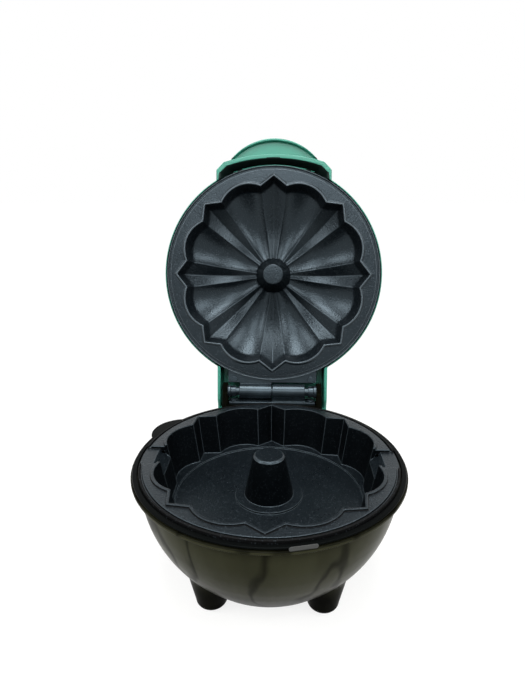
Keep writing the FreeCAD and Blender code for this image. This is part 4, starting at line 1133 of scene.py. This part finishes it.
@dataclass
class BaseUnit(SubAssembly):
    """The footed bowl with its mould, trim and works."""

    body: Body = Body.BASE
    pieces: list[Piece] = field(default_factory=lambda: [
        Piece("base_housing", Look.BOWL, 0.4, above_mm=50.0),
        Piece("trim_ring", Look.TRIM, 0.25),
        Piece("rim_tab", Look.TAB, 0.2),
        # crest: painted highlight on bead and edges, painted shade in creases, walls and skirt
        Piece("base_mould", Look.NONSTICK, 0.26, angle=20.0, crest=Crest(
            height=61.3, radius=40.0, rest=0.8, ridge=Look.COAT_BEAD_HIGHLIGHT, crease=Look.COAT_CREASE_SHADE,
            edge=Look.COAT_EDGE_HIGHLIGHT, wall=Look.COAT_WALL_SHADE, skirt=58.1)),
        Piece("base_heater", Look.HEATER),
        Piece("base_heat_shield", Look.REFLECTOR),
        *(Piece(name, Look.INSULATOR)
          for name in ("thermostat", "thermal_fuse", "terminal_block")),
        Piece("base_wires", Look.SLEEVE),
        Piece("cord_gland", Look.RUBBER, 0.3),
        *(Piece(f"foot_pad_{end}_{side}", Look.RUBBER)
          for end in ("front", "rear") for side in ("left", "right")),
        Piece("base_screws", Look.STEEL),
    ])


@dataclass
class HingeUnit(SubAssembly):
    """The fixed half of the hinge."""

    body: Body = Body.BASE
    pieces: list[Piece] = field(default_factory=lambda: [
        Piece("base_hinge_leaf", Look.STEEL, 0.3),
        Piece("hinge_pin", Look.STEEL, 0.3),
        Piece("hinge_washers", Look.STEEL, 0.2),
        Piece("hinge_clips", Look.STEEL, 0.2),
        Piece("base_leaf_screws", Look.STEEL, 0.2),
    ])


@dataclass
class LidUnit(SubAssembly):
    """The domed lid with its mould and works."""

    body: Body = Body.LID
    crown: FlutedCrown = field(default_factory=FlutedCrown)
    pieces: list[Piece] = field(default_factory=lambda: [
        # the shell's inner faces and apron pocket get painted shade
        Piece("lid_shell", Look.AQUA, 0.6, inside=Look.AQUA_PAINTED_SHADE),
        Piece("lid_hinge_leaf", Look.STEEL, 0.3),
        Piece("lid_leaf_screws", Look.STEEL, 0.2),
        Piece("lid_heater", Look.HEATER),
        Piece("lid_heat_shield", Look.REFLECTOR),
        Piece("lid_wires", Look.SLEEVE),
        Piece("lid_shield_screws", Look.STEEL),
        Piece("indicator_lens", Look.LENS, 0.2),
        Piece("indicator_lamp", Look.GLASS),
    ])

    def build(self, workshop: Workshop) -> None:
        """Show every piece and the fluted mould."""
        super().build(workshop)
        self.crown.build(workshop)


@dataclass(frozen=True)
class SoftBox:
    """A square area lamp that faces a point.

    Attributes:
        place: where it stands, in metres.
        target: the point that it faces.
        side: length of its sides.
        power: its power in watts.
    """

    name: str
    place: Place
    target: Place
    side: float
    power: float

    def build(self) -> None:
        """Hang the lamp."""
        lamp = bpy.data.lights.new(self.name, "AREA")
        lamp.shape = "SQUARE"
        lamp.size = self.side
        lamp.energy = self.power
        holder = placed(self.name, lamp)
        holder.location = self.place
        aim = Vector(self.target) - Vector(self.place)
        holder.rotation_euler = aim.to_track_quat("-Z", "Y").to_euler()
        holder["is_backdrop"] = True


@dataclass
class Studio:
    """Pale floor, white surroundings, soft lamps and the camera.

    Attributes:
        pool: distances, in metres, between which the near floor turns into the far floor.
        lift_near: what lifts the near floor to white where it is looked at.
        front_band: how far to the front its light starts and is full.
        front_rise: how far up the front's light starts and is full.
        rear_band: how far to the rear its light starts and is full.
    """

    floor_side: float = 6.0
    pool: Span = (0.13, 0.27)
    floor_near: Colour = (0.24, 0.24, 0.23)
    floor_far: Colour = (0.04, 0.041, 0.036)
    lift_near: Colour = (0.8, 0.8, 0.8)
    lift_far: Colour = WHITE
    ambient: float = 0.025
    glow_front: float = 0.55
    glow_rear: float = 1.1
    front_band: Span = (0.2, 0.7)
    front_rise: Span = (0.02, 0.35)
    rear_band: Span = (0.25, 0.85)
    rear_tilt: float = 0.3
    lens_mm: float = 27.327
    clip_start: float = 0.01
    camera_place: Place = (0.005524, -0.216530, 0.186273)
    camera_right: Place = (0.999277, 0.037952, -0.002314)
    camera_up: Place = (-0.009997, 0.320962, 0.947039)
    lamps: tuple[SoftBox, ...] = (
        SoftBox("overhead", (0.0, -0.1, 1.2), (0.0, 0.05, 0.1), 0.6, 13.0),
        SoftBox("front_high", (0.0, -1.1, 1.15), (0.0, 0.05, 0.12), 0.9, 11.0),
        SoftBox("left_high", (-1.1, -0.4, 0.95), (0.0, 0.05, 0.12), 0.7, 10.0),
        SoftBox("right_high", (1.1, -0.4, 0.95), (0.0, 0.05, 0.12), 0.7, 10.0),
    )

    def build(self) -> None:
        """Set up everything round the object."""
        self._surroundings()
        self._floor()
        for lamp in self.lamps:
            lamp.build()
        self._camera()
        bpy.context.scene.view_settings.view_transform = "Standard"

    @staticmethod
    def _looked_at(graph: Graph) -> Signal:
        """Returns: 1 for what the camera sees, also in a reflection or through glass."""
        path = graph.node("ShaderNodeLightPath")
        kinds = ("Is Camera Ray", "Is Glossy Ray", "Is Transmission Ray")
        camera, glossy, through = (Signal(graph, path.outputs[kind]) for kind in kinds)
        return (camera + glossy + through).spread(0.0, 1.0)

    def _surroundings(self) -> None:
        world = bpy.data.worlds.new("studio")
        world.use_nodes = True
        bpy.context.scene.world = world
        graph = Graph(world.node_tree)
        _, back, up = graph.split(graph.signal("ShaderNodeTexCoord", "Generated"))
        rear = (back - up * self.rear_tilt).spread(*self.rear_band)
        front = (back * -1.0).spread(*self.front_band) * up.spread(*self.front_rise)
        strength = rear * self.glow_rear + front * self.glow_front + self.ambient
        shade = graph.node("ShaderNodeBackground", Color=WHITE, Strength=strength)
        white = graph.node("ShaderNodeBackground", Color=WHITE, Strength=1.0)
        seen = self._looked_at(graph)
        mixed = graph.joined("ShaderNodeMixShader", (shade, white), Fac=seen)
        graph.close("ShaderNodeOutputWorld", mixed)

    def _floor(self) -> None:
        half = self.floor_side / 2
        square = [(-half, -half, 0.0), (half, -half, 0.0), (half, half, 0.0), (-half, half, 0.0)]
        mesh = bpy.data.meshes.new("floor")
        mesh.from_pydata(square, [], [(0, 1, 2, 3)])
        floor = placed("floor", mesh)
        material = bpy.data.materials.new("floor_white")
        material.use_nodes = True
        graph = Graph(material.node_tree)
        length = {"operation": "LENGTH"}
        away = graph.signal("ShaderNodeVectorMath", "Value", length, Vector=graph.place())
        far = away.spread(*self.pool)
        tint = graph.mix(far, self.floor_near, self.floor_far)
        lift = graph.mix(far, self.lift_near, self.lift_far)
        diffuse = graph.node("ShaderNodeBsdfDiffuse", Color=tint)
        glow = graph.node("ShaderNodeEmission", Color=lift, Strength=self._looked_at(graph))
        lifted = graph.joined("ShaderNodeAddShader", (diffuse, glow))
        graph.close("ShaderNodeOutputMaterial", lifted)
        mesh.materials.append(material)
        floor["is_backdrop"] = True

    def _camera(self) -> None:
        camera = bpy.data.cameras.new("camera")
        camera.lens = self.lens_mm
        camera.clip_start = self.clip_start
        holder = placed("camera", camera)
        right, up = Vector(self.camera_right), Vector(self.camera_up)
        back = right.cross(up)
        turn = Matrix((right, up, back)).transposed().to_4x4()
        holder.matrix_world = Matrix.Translation(Vector(self.camera_place)) @ turn
        bpy.context.scene.camera = holder


def corners() -> list[list[float]]:
    """Returns: the lowest and highest corner of what is shown."""
    return [list(corner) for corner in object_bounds()]


def main() -> None:
    """Build the whole picture."""
    logging.basicConfig(level=logging.INFO)
    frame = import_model()
    workshop = Workshop(frame)
    for unit in (BaseUnit(), HingeUnit(), LidUnit()):
        unit.build(workshop)
    Studio().build()


if __name__ == "__main__":
    main()
